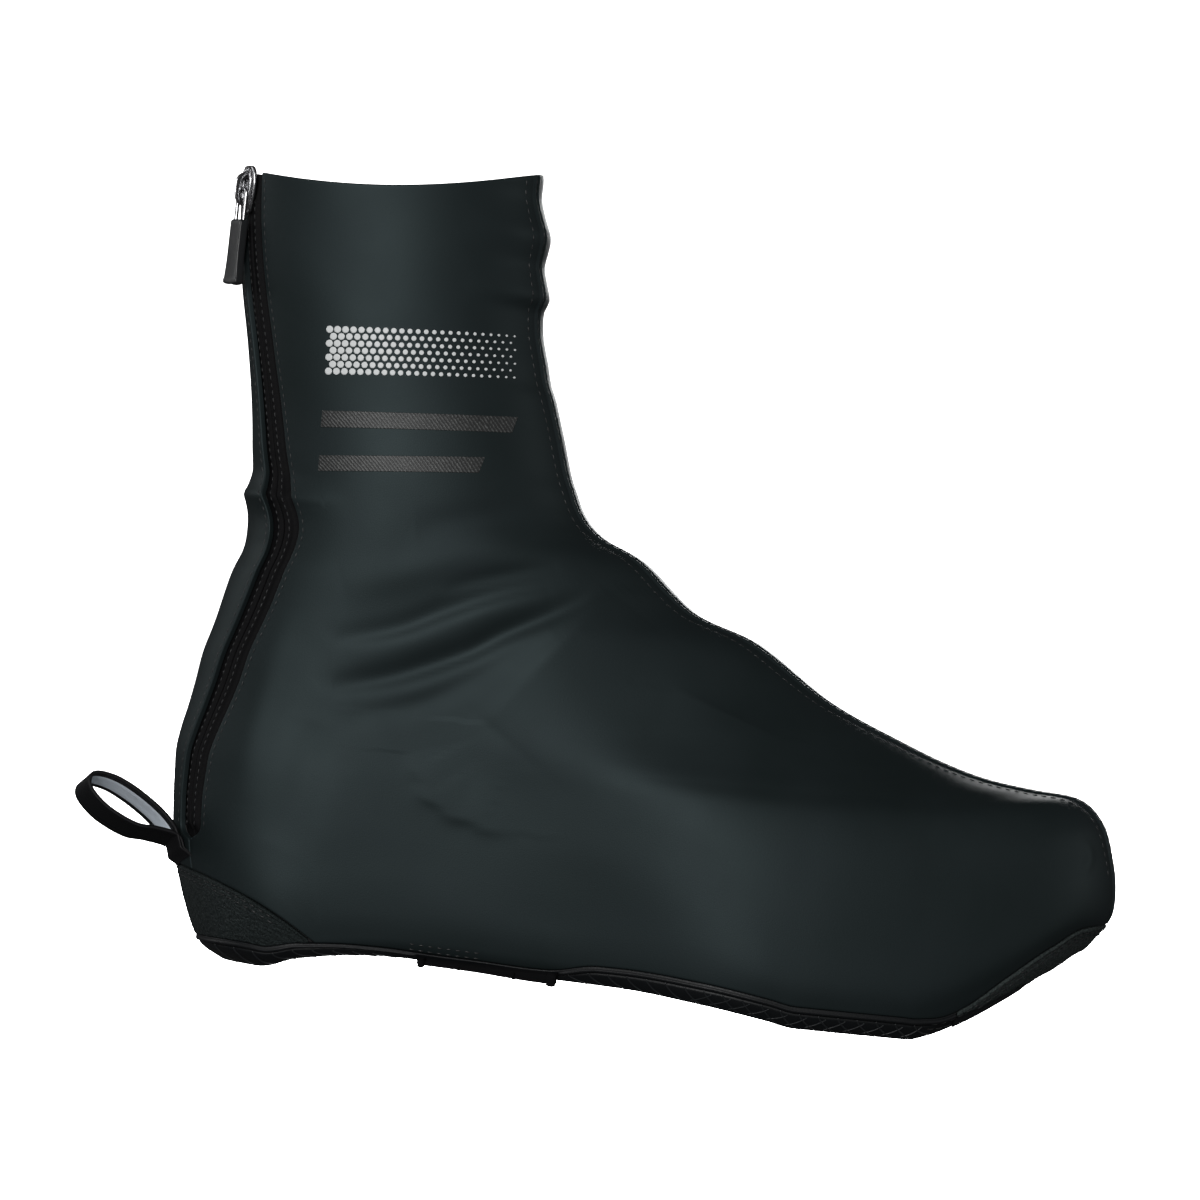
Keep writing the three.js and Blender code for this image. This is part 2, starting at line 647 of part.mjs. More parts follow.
// The bridge that the link hangs on: an arch along the slider, open across it.
function makeBridge() {
  const half = BRIDGE_LENGTH / 2;
  const low = SLIDER_THICKNESS * 0.5;
  const high = SLIDER_THICKNESS + BRIDGE_HEIGHT;
  const arch = new THREE.Shape();
  arch.moveTo(-half, low);
  arch.lineTo(half, low);
  arch.quadraticCurveTo(half, high, half * 0.2, high);
  arch.lineTo(-half * 0.2, high);
  arch.quadraticCurveTo(-half, high, -half, low);
  const eye = new THREE.Path();
  const eyeHalf = half - BRIDGE_METAL * 1.4;
  const eyeHigh = high - BRIDGE_METAL;
  const eyeLow = SLIDER_THICKNESS;
  eye.moveTo(-eyeHalf, eyeLow);
  eye.quadraticCurveTo(-eyeHalf, eyeHigh, -eyeHalf * 0.3, eyeHigh);
  eye.lineTo(eyeHalf * 0.3, eyeHigh);
  eye.quadraticCurveTo(eyeHalf, eyeHigh, eyeHalf, eyeLow);
  arch.holes.push(eye);
  const prism = new THREE.ExtrudeGeometry(arch, {
    depth: BRIDGE_WIDTH,
    bevelEnabled: false,
    curveSegments: 5,
  });
  prism.translate(0, 0, -BRIDGE_WIDTH / 2);
  prism.applyMatrix4(new THREE.Matrix4().makeBasis(
    new THREE.Vector3(0, 1, 0),
    new THREE.Vector3(0, 0, 1),
    new THREE.Vector3(1, 0, 0),
  ));
  return solidFrom(prism);
}

// Height of the hinge over the slider's foot: the link's wire runs under the bridge.
const hingeHeight = SLIDER_THICKNESS + (BRIDGE_HEIGHT - BRIDGE_METAL) * 0.52;

function wire(from, to, radius) {
  const sides = 8;
  const length = from.distanceTo(to);
  const rod = new THREE.CylinderGeometry(radius, radius, length, sides);
  const toward = new THREE.Vector3().subVectors(to, from).normalize();
  rod.applyQuaternion(new THREE.Quaternion().setFromUnitVectors(new THREE.Vector3(0, 1, 0), toward));
  const middle = from.clone().add(to).multiplyScalar(0.5);
  return solidFrom(rod.translate(middle.x, middle.y, middle.z));
}

// The link is a closed frame of wire, with the hinge at its upper wire.
function makeLink(radius) {
  const half = LINK_WIDTH / 2;
  const corners = [[-half, 0], [half, 0], [half, -LINK_LENGTH], [-half, -LINK_LENGTH]]
    .map(([x, y]) => new THREE.Vector3(x, y, 0));
  let link = null;
  corners.forEach((corner, index) => {
    const next = corners[(index + 1) % corners.length];
    const ball = solidFrom(new THREE.SphereGeometry(radius * 1.06, 8, 5)
      .translate(corner.x, corner.y, corner.z));
    const side = wire(corner, next, radius).add(ball);
    link = link ? link.add(side) : side;
  });
  return link;
}

function makeTab() {
  const top = TAB_OVERLAP - LINK_LENGTH;
  const foot = top - TAB_LENGTH;
  const half = TAB_WIDTH / 2;
  const footHalf = TAB_FOOT_WIDTH / 2;
  const outline = new THREE.Shape();
  outline.moveTo(-footHalf, foot);
  outline.quadraticCurveTo(0, foot - 0.8, footHalf, foot);
  outline.quadraticCurveTo(half, foot + TAB_LENGTH * 0.25, half, foot + TAB_LENGTH * 0.5);
  outline.lineTo(half, top - 1);
  outline.lineTo(half - 1, top);
  outline.lineTo(1 - half, top);
  outline.lineTo(-half, top - 1);
  outline.lineTo(-half, foot + TAB_LENGTH * 0.5);
  outline.quadraticCurveTo(-half, foot + TAB_LENGTH * 0.25, -footHalf, foot);
  const bevel = 0.4;
  const body = solidFrom(new THREE.ExtrudeGeometry(outline, {
    depth: TAB_THICKNESS - 2 * bevel,
    bevelThickness: bevel,
    bevelSize: bevel,
    bevelOffset: -bevel,
    bevelSegments: 1,
    curveSegments: 4,
  }).translate(0, 0, bevel - TAB_THICKNESS / 2));
  return body.subtract(makeLink(LINK_RADIUS + GAP));
}

// Pull loop of ribbon, sewn to the back of the heel above its patch.
function makeLoop() {
  const seatSection = 4.6;
  const section = sectionAt(seatSection);
  const u = section.heelAt * (1 - Math.sqrt(1 - (LOOP_OFFSET / section.heel) ** 2));
  const turn = -Math.acos(1 - 2 * u);
  const seat = surfacePoint(seatSection, turn);
  const out = surfaceNormal(seatSection, turn).setZ(0).normalize();
  const aside = new THREE.Vector3(-out.y, out.x, 0);
  const roll = THREE.MathUtils.degToRad(LOOP_ROLL);
  const up = new THREE.Vector3(0, 0, 1).applyAxisAngle(out, roll);
  const across = aside.clone().applyAxisAngle(out, roll);
  const start = GAP + 0.9 + LOOP_THICKNESS / 2;
  const reach = LOOP_REACH - start;
  const curve = new THREE.CatmullRomCurve3(LOOP.map(([far, high]) => (
    new THREE.Vector3(start + far * reach, high * LOOP_RISE, 0)
  )), false, 'centripetal');
  const stations = 34;
  const rings = [];
  for (let k = 0; k <= stations; k += 1) {
    const place = curve.getPointAt(k / stations);
    const ahead = curve.getTangentAt(k / stations);
    const beside = new THREE.Vector3(-ahead.y, ahead.x, 0);
    rings.push([[-1, -1], [1, -1], [1, 1], [-1, 1]].map(([wide, thick]) => {
      const local = place.clone().addScaledVector(beside, (thick * LOOP_THICKNESS) / 2);
      return seat.clone().setZ(LOOP_ROOT)
        .addScaledVector(out, local.x)
        .addScaledVector(up, local.y)
        .addScaledVector(across, (wide * LOOP_WIDTH) / 2);
    }));
  }
  return prismFrom(rings);
}

const MATERIALS = {
  fabric: { color: 0x1b2022, roughness: 0.62, metalness: 0 },
  sole: { color: 0x0c0c0d, roughness: 0.7, metalness: 0 },
  patch: { color: 0x141617, roughness: 0.85, metalness: 0 },
  zip: { color: 0x08090a, roughness: 0.6, metalness: 0 },
  metal: { color: 0x8f9396, roughness: 0.25, metalness: 1 },
  tab: { color: 0x0d0e0f, roughness: 0.45, metalness: 0 },
  ribbon: { color: 0x1a1c1d, roughness: 0.7, metalness: 0 },
};

function meshOf(name, solid, material) {
  const made = solid.getMesh();
  const geometry = new THREE.BufferGeometry();
  geometry.setAttribute('position', new THREE.BufferAttribute(made.vertProperties, 3));
  geometry.setIndex(new THREE.BufferAttribute(made.triVerts, 1));
  geometry.computeVertexNormals();
  const mesh = new THREE.Mesh(geometry, new THREE.MeshStandardMaterial(MATERIALS[material]));
  mesh.name = name;
  return mesh;
}

// The slider stands on the coil, and its pull hangs plumb from the hinge under the bridge.
function makeSliderGroup() {
  const slider = new THREE.Group();
  slider.add(meshOf('zip_slider', makeSlider(), 'metal'));
  slider.applyMatrix4(new THREE.Matrix4().makeBasis(sliderAcross, sliderUp, sliderOut)
    .setPosition(sliderSeat));
  const pull = new THREE.Group();
  pull.add(meshOf('pull_link', makeLink(LINK_RADIUS), 'metal'));
  pull.add(meshOf('pull_tab', makeTab(), 'tab'));
  const hinge = sliderSeat.clone().addScaledVector(sliderOut, hingeHeight);
  pull.applyMatrix4(new THREE.Matrix4().makeBasis(sliderAcross, new THREE.Vector3(0, 0, 1), facing)
    .setPosition(hinge));
  const both = new THREE.Group();
  both.add(slider, pull);
  return both;
}

const overshoe = new THREE.Group();
overshoe.add(
  meshOf('upper', makeUpper(), 'fabric'),
  meshOf('sole', makeSole(), 'sole'),
  meshOf('toe_patch', makeToePatch(), 'patch'),
  meshOf('heel_patch', makeHeelPatch(), 'patch'),
  meshOf('arch_strap', makeStrap(), 'zip'),
  meshOf('zip_half_inner', makeZipHalf(1), 'zip'),
  meshOf('zip_half_outer', makeZipHalf(-1), 'zip'),
  meshOf('heel_loop', makeLoop(), 'ribbon'),
  makeSliderGroup(),
);

// The origin is the middle of the whole shoe's box, on the floor.
overshoe.updateMatrixWorld(true);
const box = new THREE.Box3().setFromObject(overshoe, true);
overshoe.position.set(-(box.min.x + box.max.x) / 2, -(box.min.y + box.max.y) / 2, -box.min.z);

export default overshoe;
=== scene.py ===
"""Looks of the cycling overshoe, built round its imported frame.

The scene is in metres: +X to the toe, +Y to the inner side of the foot, +Z up. Forms are worked
out in millimetres of the shoe itself, with x = 0 at the back of the heel and z = 0 on the floor.
"""
import json
import math

import bmesh
import bpy
import numpy as np
from mathutils import Matrix, Vector


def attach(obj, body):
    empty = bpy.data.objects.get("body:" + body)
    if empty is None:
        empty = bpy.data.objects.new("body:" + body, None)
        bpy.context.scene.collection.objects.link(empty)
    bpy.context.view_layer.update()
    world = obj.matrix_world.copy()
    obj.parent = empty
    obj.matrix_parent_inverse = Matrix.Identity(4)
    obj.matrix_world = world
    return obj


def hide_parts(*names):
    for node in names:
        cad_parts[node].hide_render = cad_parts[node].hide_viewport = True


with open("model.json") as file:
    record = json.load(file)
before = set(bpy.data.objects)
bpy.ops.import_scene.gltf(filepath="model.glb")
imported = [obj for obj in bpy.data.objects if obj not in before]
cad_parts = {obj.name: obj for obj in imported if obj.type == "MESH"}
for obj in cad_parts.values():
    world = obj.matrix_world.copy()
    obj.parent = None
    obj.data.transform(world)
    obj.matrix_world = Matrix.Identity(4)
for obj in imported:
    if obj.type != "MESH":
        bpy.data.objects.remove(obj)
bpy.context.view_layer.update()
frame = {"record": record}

# Sizes of the shoe, in millimetres
LENGTH = 299.5
BALL_WIDTH = 101.0
WAIST_WIDTH = 70.0
HEEL_WIDTH = 71.0
HEEL_HEIGHT = 142.0
INSTEP_HEIGHT = 151.0
TOE_SPRING = 28.8
ARCH_RISE = 7.7
TOE_SHIFT = 10.0
BALL_SKEW = 0.045
SHAFT_DEPTH = 94.4
SHAFT_WIDTH = 64.0
SHAFT_HEIGHT = 104.5
COLLAR_DIP = 5.7
WALL = 1.7
SOLE_WALL = 2.4
SEAM_GAP = 0.3
HALF_GAP = SEAM_GAP / 2
SEAM_HEIGHT = 6.8
HEEL_PATCH_HEIGHT = 30.5
HEEL_PATCH_LENGTH = 52.5
TOE_PATCH_START = LENGTH - 48.0
SLOT_HALF = 6.0
ZIP_START = 5.2
SLOT_SEAM = 0.12  # half width of the thin seam below the slot
SLOT_END = (0.12, 0.34)  # sections that the slot's round end starts below ZIP_START, its height
ZIP_LENGTH = 210.0  # along the tape, for its map
TAPE_TOP = -2.3
CLEAT = (170.0, 230.0, 25.0, 16.0)  # from, to, half width, corner
HEEL_HOLE = (30.0, 68.0, 16.0, 12.0)
STRAP = (83.6, 126.6, 8.6)  # back, front, top
SHOE_MIDDLE = (120, 0, 70)  # a point inside the cover
UPPER_GRID = (225, 190, 215)  # rows, outer columns, inner columns
CLOTH_FADE = (1.5, 4.0)  # sections between which folds and ripples come in above the sole

UNDERSIDE = [
    (0.000, 0.00, 0.00), (0.114, 0.00, 0.00), (0.154, 0.50, 0.00), (0.217, 0.91, 0.00),
    (0.257, 1.00, 0.00), (0.334, 0.94, 0.00), (0.407, 0.80, 0.00), (0.491, 0.78, 0.00),
    (0.578, 0.53, 0.00), (0.621, 0.32, 0.00), (0.645, 0.18, 0.00), (0.673, 0.00, 0.00),
    (0.790, 0.00, 0.00), (0.811, 0.00, 0.06), (0.851, 0.00, 0.27), (0.891, 0.00, 0.54),
    (0.932, 0.00, 0.83), (0.968, 0.00, 1.00), (1.000, 0.00, 1.00),
]
SEAM = [
    (0.000, 0.92), (0.087, 1.03), (0.175, 0.62), (0.255, 0.36), (0.300, 0.30), (0.414, 0.40),
    (0.465, 0.86), (0.620, 1.00), (0.785, 1.00), (0.836, 0.60), (0.890, 1.02), (0.940, 1.28),
    (1.000, 1.75),
]
# back, backUp, front, frontUp, follow, heelAt, ballAt, heel, waist, ball, turn
FOOT = [
    (0.0710, 0.0000, 0.9560, 0.0000, 1.00, 0.125, 0.680, 0.85, 0.84, 0.90, 1.00),
    (0.0500, 0.0240, 0.9740, 0.0210, 1.00, 0.125, 0.680, 0.92, 0.92, 0.95, 1.00),
    (0.0410, 0.0500, 0.9860, 0.0510, 1.00, 0.125, 0.680, 0.95, 0.96, 0.98, 1.00),
    (0.0300, 0.0990, 0.9985, 0.1010, 0.95, 0.125, 0.680, 0.98, 0.99, 1.00, 1.00),
    (0.0180, 0.1690, 1.0000, 0.1900, 0.80, 0.125, 0.675, 1.00, 1.00, 0.99, 1.00),
    (0.0080, 0.2540, 0.9930, 0.2960, 0.60, 0.130, 0.665, 1.00, 1.00, 0.97, 1.00),
    (0.0030, 0.3380, 0.9800, 0.3960, 0.42, 0.135, 0.650, 1.00, 1.00, 0.93, 1.00),
    (0.0010, 0.4010, 0.9520, 0.4710, 0.28, 0.140, 0.625, 0.99, 0.99, 0.88, 0.95),
    (0.0000, 0.4510, 0.9050, 0.5090, 0.18, 0.150, 0.590, 0.98, 0.98, 0.82, 0.85),
    (0.0030, 0.5000, 0.8370, 0.5470, 0.10, 0.170, 0.560, 0.97, 0.97, 0.76, 0.70),
    (0.0080, 0.5490, 0.7640, 0.5970, 0.05, 0.190, 0.540, 0.96, 0.96, 0.71, 0.55),
    (0.0130, 0.6060, 0.6810, 0.6670, 0.00, 0.220, 0.510, 0.95, 0.95, 0.68, 0.40),
    (0.0180, 0.6760, 0.6000, 0.7700, 0.00, 0.260, 0.490, 0.95, 0.95, 0.66, 0.25),
    (0.0290, 0.7610, 0.5290, 0.8200, 0.00, 0.310, 0.480, 0.96, 0.96, 0.67, 0.10),
    (0.0380, 0.8450, 0.4700, 0.9130, 0.00, 0.370, 0.480, 0.97, 0.98, 0.68, 0.00),
    (0.0490, 0.9230, 0.4230, 0.9540, 0.00, 0.430, 0.490, 0.99, 1.00, 0.70, 0.00),
    (0.0500, 1.0000, 0.3980, 1.0000, 0.00, 0.500, 0.500, 1.00, 1.01, 0.70, 0.00),
]
# back, backUp, front, frontUp, wide
SHAFT = [
    (0.141, 0.155, 1.210, 0.110, 1.09), (0.125, 0.300, 1.166, 0.240, 1.07),
    (0.087, 0.485, 1.100, 0.415, 1.04), (0.046, 0.670, 1.064, 0.605, 1.02),
    (0.021, 0.840, 1.046, 0.805, 1.00), (0.009, 1.000, 1.009, 1.000, 1.00),
]
ZIP = [
    (5.0, 0.27), (8.0, 0.285), (11.0, 0.30), (15.0, 0.33), (17.0, 0.26), (19.0, 0.21),
    (22.0, 0.165),
]
FRONT_SEAM = [(0.19, -0.09), (0.42, -0.09), (0.60, -0.05), (0.80, -0.01), (1.10, 0.02)]
LOOP_REACH = 32.0
LOOP_WIDTH = 14.0
LOOP_THICKNESS = 1.2
LOOP_ROOT = 31.0
LOOP_RISE = 22.0
LOOP_OFFSET = 12.0
LOOP_ROLL = 19.0
LOOP = [
    (0.000, -0.080), (0.000, 0.150), (0.080, 0.235), (0.275, 0.285), (0.490, 0.315),
    (0.770, 0.500), (0.950, 0.725), (1.000, 0.895), (0.930, 1.015), (0.730, 0.985),
    (0.510, 0.845), (0.255, 0.600), (0.095, 0.375), (0.045, 0.215), (0.045, -0.080),
]

# Where the millimetre frame's zero lies in the scene: the heel's mount is at x = 25.5, y = 0.
HEEL_MOUNT = next(m for m in frame["record"]["mounts"] if m["name"] == "heel_rest")
ORIGIN = np.array(HEEL_MOUNT["pos_m"]) - np.array([0.0255, 0.0, 0.0])


def metres(points):
    return np.asarray(points, float) / 1000.0 + ORIGIN


# ---------------------------------------------------------------- the shoe's form

def read_table(table, place, column=1):
    """Value of a table's column between its rows, on a curve that adds no hills or valleys."""
    rows = np.asarray(table, float)
    at, value = rows[:, 0], rows[:, column]
    rise = np.diff(value) / np.diff(at)
    slope = np.zeros(len(at))
    both = rise[:-1] * rise[1:]
    total = rise[:-1] + rise[1:]
    safe = np.where(both > 0, total, 1.0)
    slope[1:-1] = np.where(both > 0, 2 * both / safe, 0.0)
    place = np.clip(place, at[0], at[-1])
    low = np.clip(np.searchsorted(at, place, side="left") - 1, 0, len(at) - 2)
    span = at[low + 1] - at[low]
    s = (place - at[low]) / span
    s2, s3 = s * s, s * s * s
    return (value[low] * (2 * s3 - 3 * s2 + 1) + slope[low] * span * (s3 - 2 * s2 + s)
            + value[low + 1] * (3 * s2 - 2 * s3) + slope[low + 1] * span * (s3 - s2))


def underside(x):
    along = np.asarray(x) / LENGTH
    return read_table(UNDERSIDE, along, 1) * ARCH_RISE + read_table(UNDERSIDE, along, 2) * TOE_SPRING


def seam_height(x):
    return underside(x) + read_table(SEAM, np.asarray(x) / LENGTH) * SEAM_HEIGHT


def all_sections():
    """One row a section in millimetres: the columns of FOOT, and the collar's dip last."""
    rows = []
    for back, back_up, front, front_up, follow, heel_at, ball_at, heel, waist, ball, turn in FOOT:
        rows.append((back * LENGTH, back_up * HEEL_HEIGHT, front * LENGTH, front_up * INSTEP_HEIGHT,
                     follow, heel_at, ball_at, heel * HEEL_WIDTH / 2, waist * WAIST_WIDTH / 2,
                     ball * BALL_WIDTH / 2, turn, 0.0))
    for back, back_up, front, front_up, wide in SHAFT:
        half = wide * SHAFT_WIDTH / 2
        rows.append((back * SHAFT_DEPTH, HEEL_HEIGHT + back_up * SHAFT_HEIGHT, front * SHAFT_DEPTH,
                     INSTEP_HEIGHT + front_up * SHAFT_HEIGHT, 0.0, 0.5, 0.5, half, half, half, 0.0,
                     COLLAR_DIP * back_up ** 3))
    ankle = len(FOOT) - 1
    rows = np.array(rows)
    rows[ankle, 7:10] = rows[ankle, 7:10].mean()
    return rows


SECTIONS = all_sections()
COLLAR = len(SECTIONS) - 1


def section_at(number):
    """The twelve values of a section between the numbered ones, first axis the value."""
    number = np.asarray(number, float)
    low = np.clip(np.floor(number), 0, COLLAR - 1).astype(int)
    s = number - low
    near = [SECTIONS[np.clip(low + step, 0, COLLAR)] for step in (-1, 0, 1, 2)]
    s = s[..., None]
    value = ((2 * s ** 3 - 3 * s ** 2 + 1) * near[1] + (s ** 3 - 2 * s ** 2 + s) * (near[2] - near[0]) / 2
             + (3 * s ** 2 - 2 * s ** 3) * near[2] + (s ** 3 - s ** 2) * (near[3] - near[1]) / 2)
    return np.moveaxis(value, -1, 0)


def half_width(sec, u, side):
    heel_at, heel, waist, ball, turned = np.minimum(sec[5], 0.5), sec[7], sec[8], sec[9], sec[10]
    ball_at = np.maximum(sec[6], heel_at + 0.0001) + BALL_SKEW * turned * side
    waist_at = (heel_at + ball_at) / 2

    def ease(s):
        return (1 - np.cos(np.pi * np.clip(s, 0, 1))) / 2
    at_heel = heel * np.sqrt(np.clip(1 - (1 - u / heel_at) ** 2, 0, None))
    to_waist = heel + (waist - heel) * ease((u - heel_at) / (waist_at - heel_at))
    to_ball = waist + (ball - waist) * ease((u - waist_at) / (ball_at - waist_at))
    power = 2 + 0.25 * turned
    past_ball = np.clip((u - ball_at) / (1 - ball_at), 0, 1)
    at_toe = ball * np.clip(1 - past_ball ** power, 0, None) ** (1 / power)
    return np.where(u < heel_at, at_heel, np.where(u < waist_at, to_waist,
                    np.where(u < ball_at, to_ball, at_toe)))


def smoothstep(x, low, high):
    s = np.clip((x - low) / (high - low), 0, 1)
    return s * s * (3 - 2 * s)


def form(number, turn):
    """Points of the plain outer surface. turn 0 is the back, half a turn the front."""
    number, turn = np.broadcast_arrays(np.asarray(number, float), np.asarray(turn, float))
    sec = section_at(number)
    u = (1 - np.cos(turn)) / 2
    side = np.where(np.sin(turn) >= 0, 1.0, -1.0)
    x = sec[0] + (sec[2] - sec[0]) * u
    y = side * half_width(sec, u, side) + TOE_SHIFT * sec[10] * smoothstep(u, 0.45, 1)
    z = sec[1] + (sec[3] - sec[1]) * u + sec[4] * underside(x) - sec[11] * np.sin(turn) ** 2
    return np.stack([x, y, z], -1)


def blur(values, sigma, axis, wrap):
    """Gaussian smoothing along one axis of an even grid."""
    reach = int(3 * sigma)
    weight = np.exp(-0.5 * (np.arange(-reach, reach + 1) / sigma) ** 2)
    weight /= weight.sum()
    rows = np.moveaxis(values, axis, 0)
    if wrap:
        rows = np.concatenate([rows[-reach:], rows, rows[:reach]])
    else:
        before = 2 * rows[:1] - rows[reach:0:-1]
        after = 2 * rows[-1:] - rows[-2:-reach - 2:-1]
        rows = np.concatenate([before, rows, after])
    count = len(rows) - 2 * reach
    out = sum(w * rows[k:k + count] for k, w in enumerate(weight))
    return np.moveaxis(out, 0, axis)


RELAX_ROWS, RELAX_TURNS = 241, 360


def relaxed_shift():
    """How far cloth that spans the form's slight edges stands off it sideways, on an even grid."""
    number = np.linspace(0, COLLAR, RELAX_ROWS)[:, None]
    turn = np.linspace(0, 2 * math.pi, RELAX_TURNS, endpoint=False)[None]
    y = form(number, turn)[..., 1]
    facing = np.abs(outward(number, turn)[..., 1])
    once = blur(blur(y, 13.0, 0, False), 9.0, 1, True)
    twice = blur(blur(once, 13.0, 0, False), 9.0, 1, True)
    mask = smoothstep(facing, 0.45, 0.9) * smoothstep(number, 3.2, 5.6)
    mask = mask * (1 - smoothstep(number, 20.2, 21.6))
    return (2 * once - twice - y) * blur(mask, 3.0, 1, True)


def relax(number, turn):
    """The relaxed shift at any places, read between the points of its grid."""
    row = np.clip(number / COLLAR * (RELAX_ROWS - 1), 0, RELAX_ROWS - 1.001)
    column = (turn / (2 * math.pi) * RELAX_TURNS) % RELAX_TURNS
    i, j = np.floor(row).astype(int), np.floor(column).astype(int) % RELAX_TURNS
    s, t = row - i, column - np.floor(column)
    after = (j + 1) % RELAX_TURNS
    return ((RELAXED[i, j] * (1 - t) + RELAXED[i, after] * t) * (1 - s)
            + (RELAXED[i + 1, j] * (1 - t) + RELAXED[i + 1, after] * t) * s)


def outward(number, turn, step=0.02):
    """Unit normals of the plain surface, looking out."""
    up = form(np.minimum(number + step, COLLAR), turn) - form(np.maximum(number - step, 0), turn)
    round_ = form(number, turn + step) - form(number, turn - step)
    normal = np.cross(up, round_)
    return normal / np.maximum(np.linalg.norm(normal, axis=-1, keepdims=True), 1e-9)


RELAXED = relaxed_shift()


# ---------------------------------------------------------------- folds of the cloth

def lengths_along(line):
    """Length of a line up to each of its points."""
    return np.concatenate([[0], np.cumsum(np.linalg.norm(np.diff(line, axis=0), axis=1))])


def smooth_path(points, count):
    """A smooth line through points, at even steps."""
    p = np.asarray(points, float)
    q = np.vstack([2 * p[0] - p[1], p, 2 * p[-1] - p[-2]])
    out = []
    for k in range(1, len(q) - 2):
        t = np.linspace(0, 1, 24, endpoint=False)[:, None]
        a, b, c, d = q[k - 1], q[k], q[k + 1], q[k + 2]
        out.append(0.5 * (2 * b + (c - a) * t + (2 * a - 5 * b + 4 * c - d) * t ** 2
                          + (3 * b - a - 3 * c + d) * t ** 3))
    out = np.vstack(out + [p[-1:]])
    gone = lengths_along(out)
    want = np.linspace(0, gone[-1], count)
    return np.stack([np.interp(want, gone, out[:, k]) for k in range(out.shape[1])], -1)


# Each fold: side it shows on (-1 outer, 1 inner), depth, width above and below, path of (x, z), in
# millimetres. A width below zero makes that side of the fold a sharp crease. The ankle's folds lie
# on both sides, so their rows name no side.
ANKLE_FOLDS = [
    (-1.6, 3.6, 2.8, [(128, 128), (115, 120), (99, 111), (88, 104), (67, 94.5), (48, 89)]),
    (0.6, 3.5, 6.0, [(120, 115), (108, 109), (96, 101), (80, 92), (58, 83)]),
    (-0.9, 4.0, 4.0, [(114, 113), (101, 104), (90, 96), (75, 87), (53, 80)]),
    (-0.9, 3.6, 2.2, [(117, 130), (98, 124), (81, 116.5), (66, 109), (48, 104)]),
    (-0.6, 2.6, 1.8, [(114, 134), (103, 131), (90, 127), (80, 123)]),
    (0.8, 4.5, 4.5, [(112, 124), (94, 118), (76, 108), (52, 98)]),
    (0.8, 6.0, 6.0, [(110, 141), (92, 136), (70, 128), (48, 120)]),
    (-0.7, 5.0, 5.0, [(104, 150), (88, 146), (68, 141)]),
]
FOLDS = [(-1, *fold) for fold in ANKLE_FOLDS] + [(1, *fold) for fold in ANKLE_FOLDS] + [
    (-1, 1.5, -8.0, 24.0, [(129, 129), (120, 115), (113, 106), (106, 96), (97, 83)]),
    (-1, 0.8, -5.0, 16.0, [(154, 100), (170, 94), (188, 88)]),
    (-1, 0.6, 13.0, -2.2, [(74, 71), (76, 66), (79, 63), (80, 58), (85, 56), (89, 52.5), (95, 52.5),
                           (99, 50), (108, 50)]),
    (-1, -0.7, 7.0, 7.0, [(44, 78), (42, 58), (38, 38)]),
    (-1, 0.5, 5.0, 5.0, [(31, 112), (27, 90), (24, 70), (24, 50)]),
    (1, -1.3, 7.0, 3.0, [(150, 110), (128, 88), (104, 74), (84, 66)]),
    (-1, 0.35, 1.4, 1.4, [(287, 67), (289, 62), (288, 57)]),
]


def path_distance(points, line):
    """Distance of points from a line, the share of the way along it, and whether they lie above."""
    best = np.full(len(points), 1e9)
    along, above = np.zeros(len(points)), np.zeros(len(points), bool)
    for k in range(len(line) - 1):
        step = line[k + 1] - line[k]
        t = np.clip((points - line[k]) @ step / (step @ step), 0, 1)
        foot = line[k] + t[:, None] * step
        gap = np.linalg.norm(points - foot, axis=1)
        closer = gap < best
        best[closer] = gap[closer]
        along[closer] = (k + t[closer]) / (len(line) - 1)
        above[closer] = (points[:, 1] > foot[:, 1])[closer]
    return best, along, above


def fold_depth(points):
    """Outward shift of the cloth at plain points of the form."""
    x, y, z = points[..., 0], points[..., 1], points[..., 2]
    shift = np.zeros(x.size)
    flat = np.stack([x.ravel(), z.ravel()], -1)
    for side, depth, over, under, path in FOLDS:
        line = smooth_path(path, 30)
        reach = 3.2 * max(abs(over), abs(under))
        near = np.all((flat > line.min(0) - reach) & (flat < line.max(0) + reach), axis=1)
        near &= y.ravel() * side > -4
        index = np.flatnonzero(near)
        distance, along, above = path_distance(flat[index], line)
        taper = np.sin(np.pi * np.clip(along * 0.96 + 0.02, 0, 1)) ** 0.6
        width = np.where(above, over, under)
        spread = distance / np.abs(width)
        bell = np.exp(-np.where(width < 0, spread * 1.4, spread ** 2))
        shift[index] += depth * bell * taper * smoothstep(y.ravel()[index] * side, -2, 6)
    return shift.reshape(x.shape)


# Outline of the shaft's front and back: height in mm, and how far the cloth bulges there.
FRONT_RIPPLES = [
    (140, 0.0), (146, 0.4), (151, 0.6), (156, 0.6), (162, 0.2), (168, 0.2), (175, 0.2), (181, 0.4),
    (186, 0.6), (190, 0.2), (195, 0.2), (200, -0.2), (206, -0.8), (212, -0.6), (217, 1.4),
    (222, 0.4), (227, -0.6), (231, 0.2), (236, 1.2), (242, 0.0), (248, -0.8), (255, 0.2),
]
BACK_RIPPLES = [
    (100, 0.0), (112, 0.3), (122, 0.3), (128, 0.0), (134, 0.3), (139, 0.6), (143, 1.4), (146, 2.2),
    (149, 0.8), (154, -0.6), (162, -0.3), (175, 0.0), (192, 0.0), (222, 0.0), (255, 0.0),
]


def ripple_depth(points, turn):
    z = points[..., 2]
    to_front = np.cos(turn - math.pi)
    front = read_table(FRONT_RIPPLES, z) * smoothstep(to_front, 0.45, 0.95)
    back = read_table(BACK_RIPPLES, z) * smoothstep(-to_front, 0.35, 0.9)
    return np.where(to_front > 0, front, back)


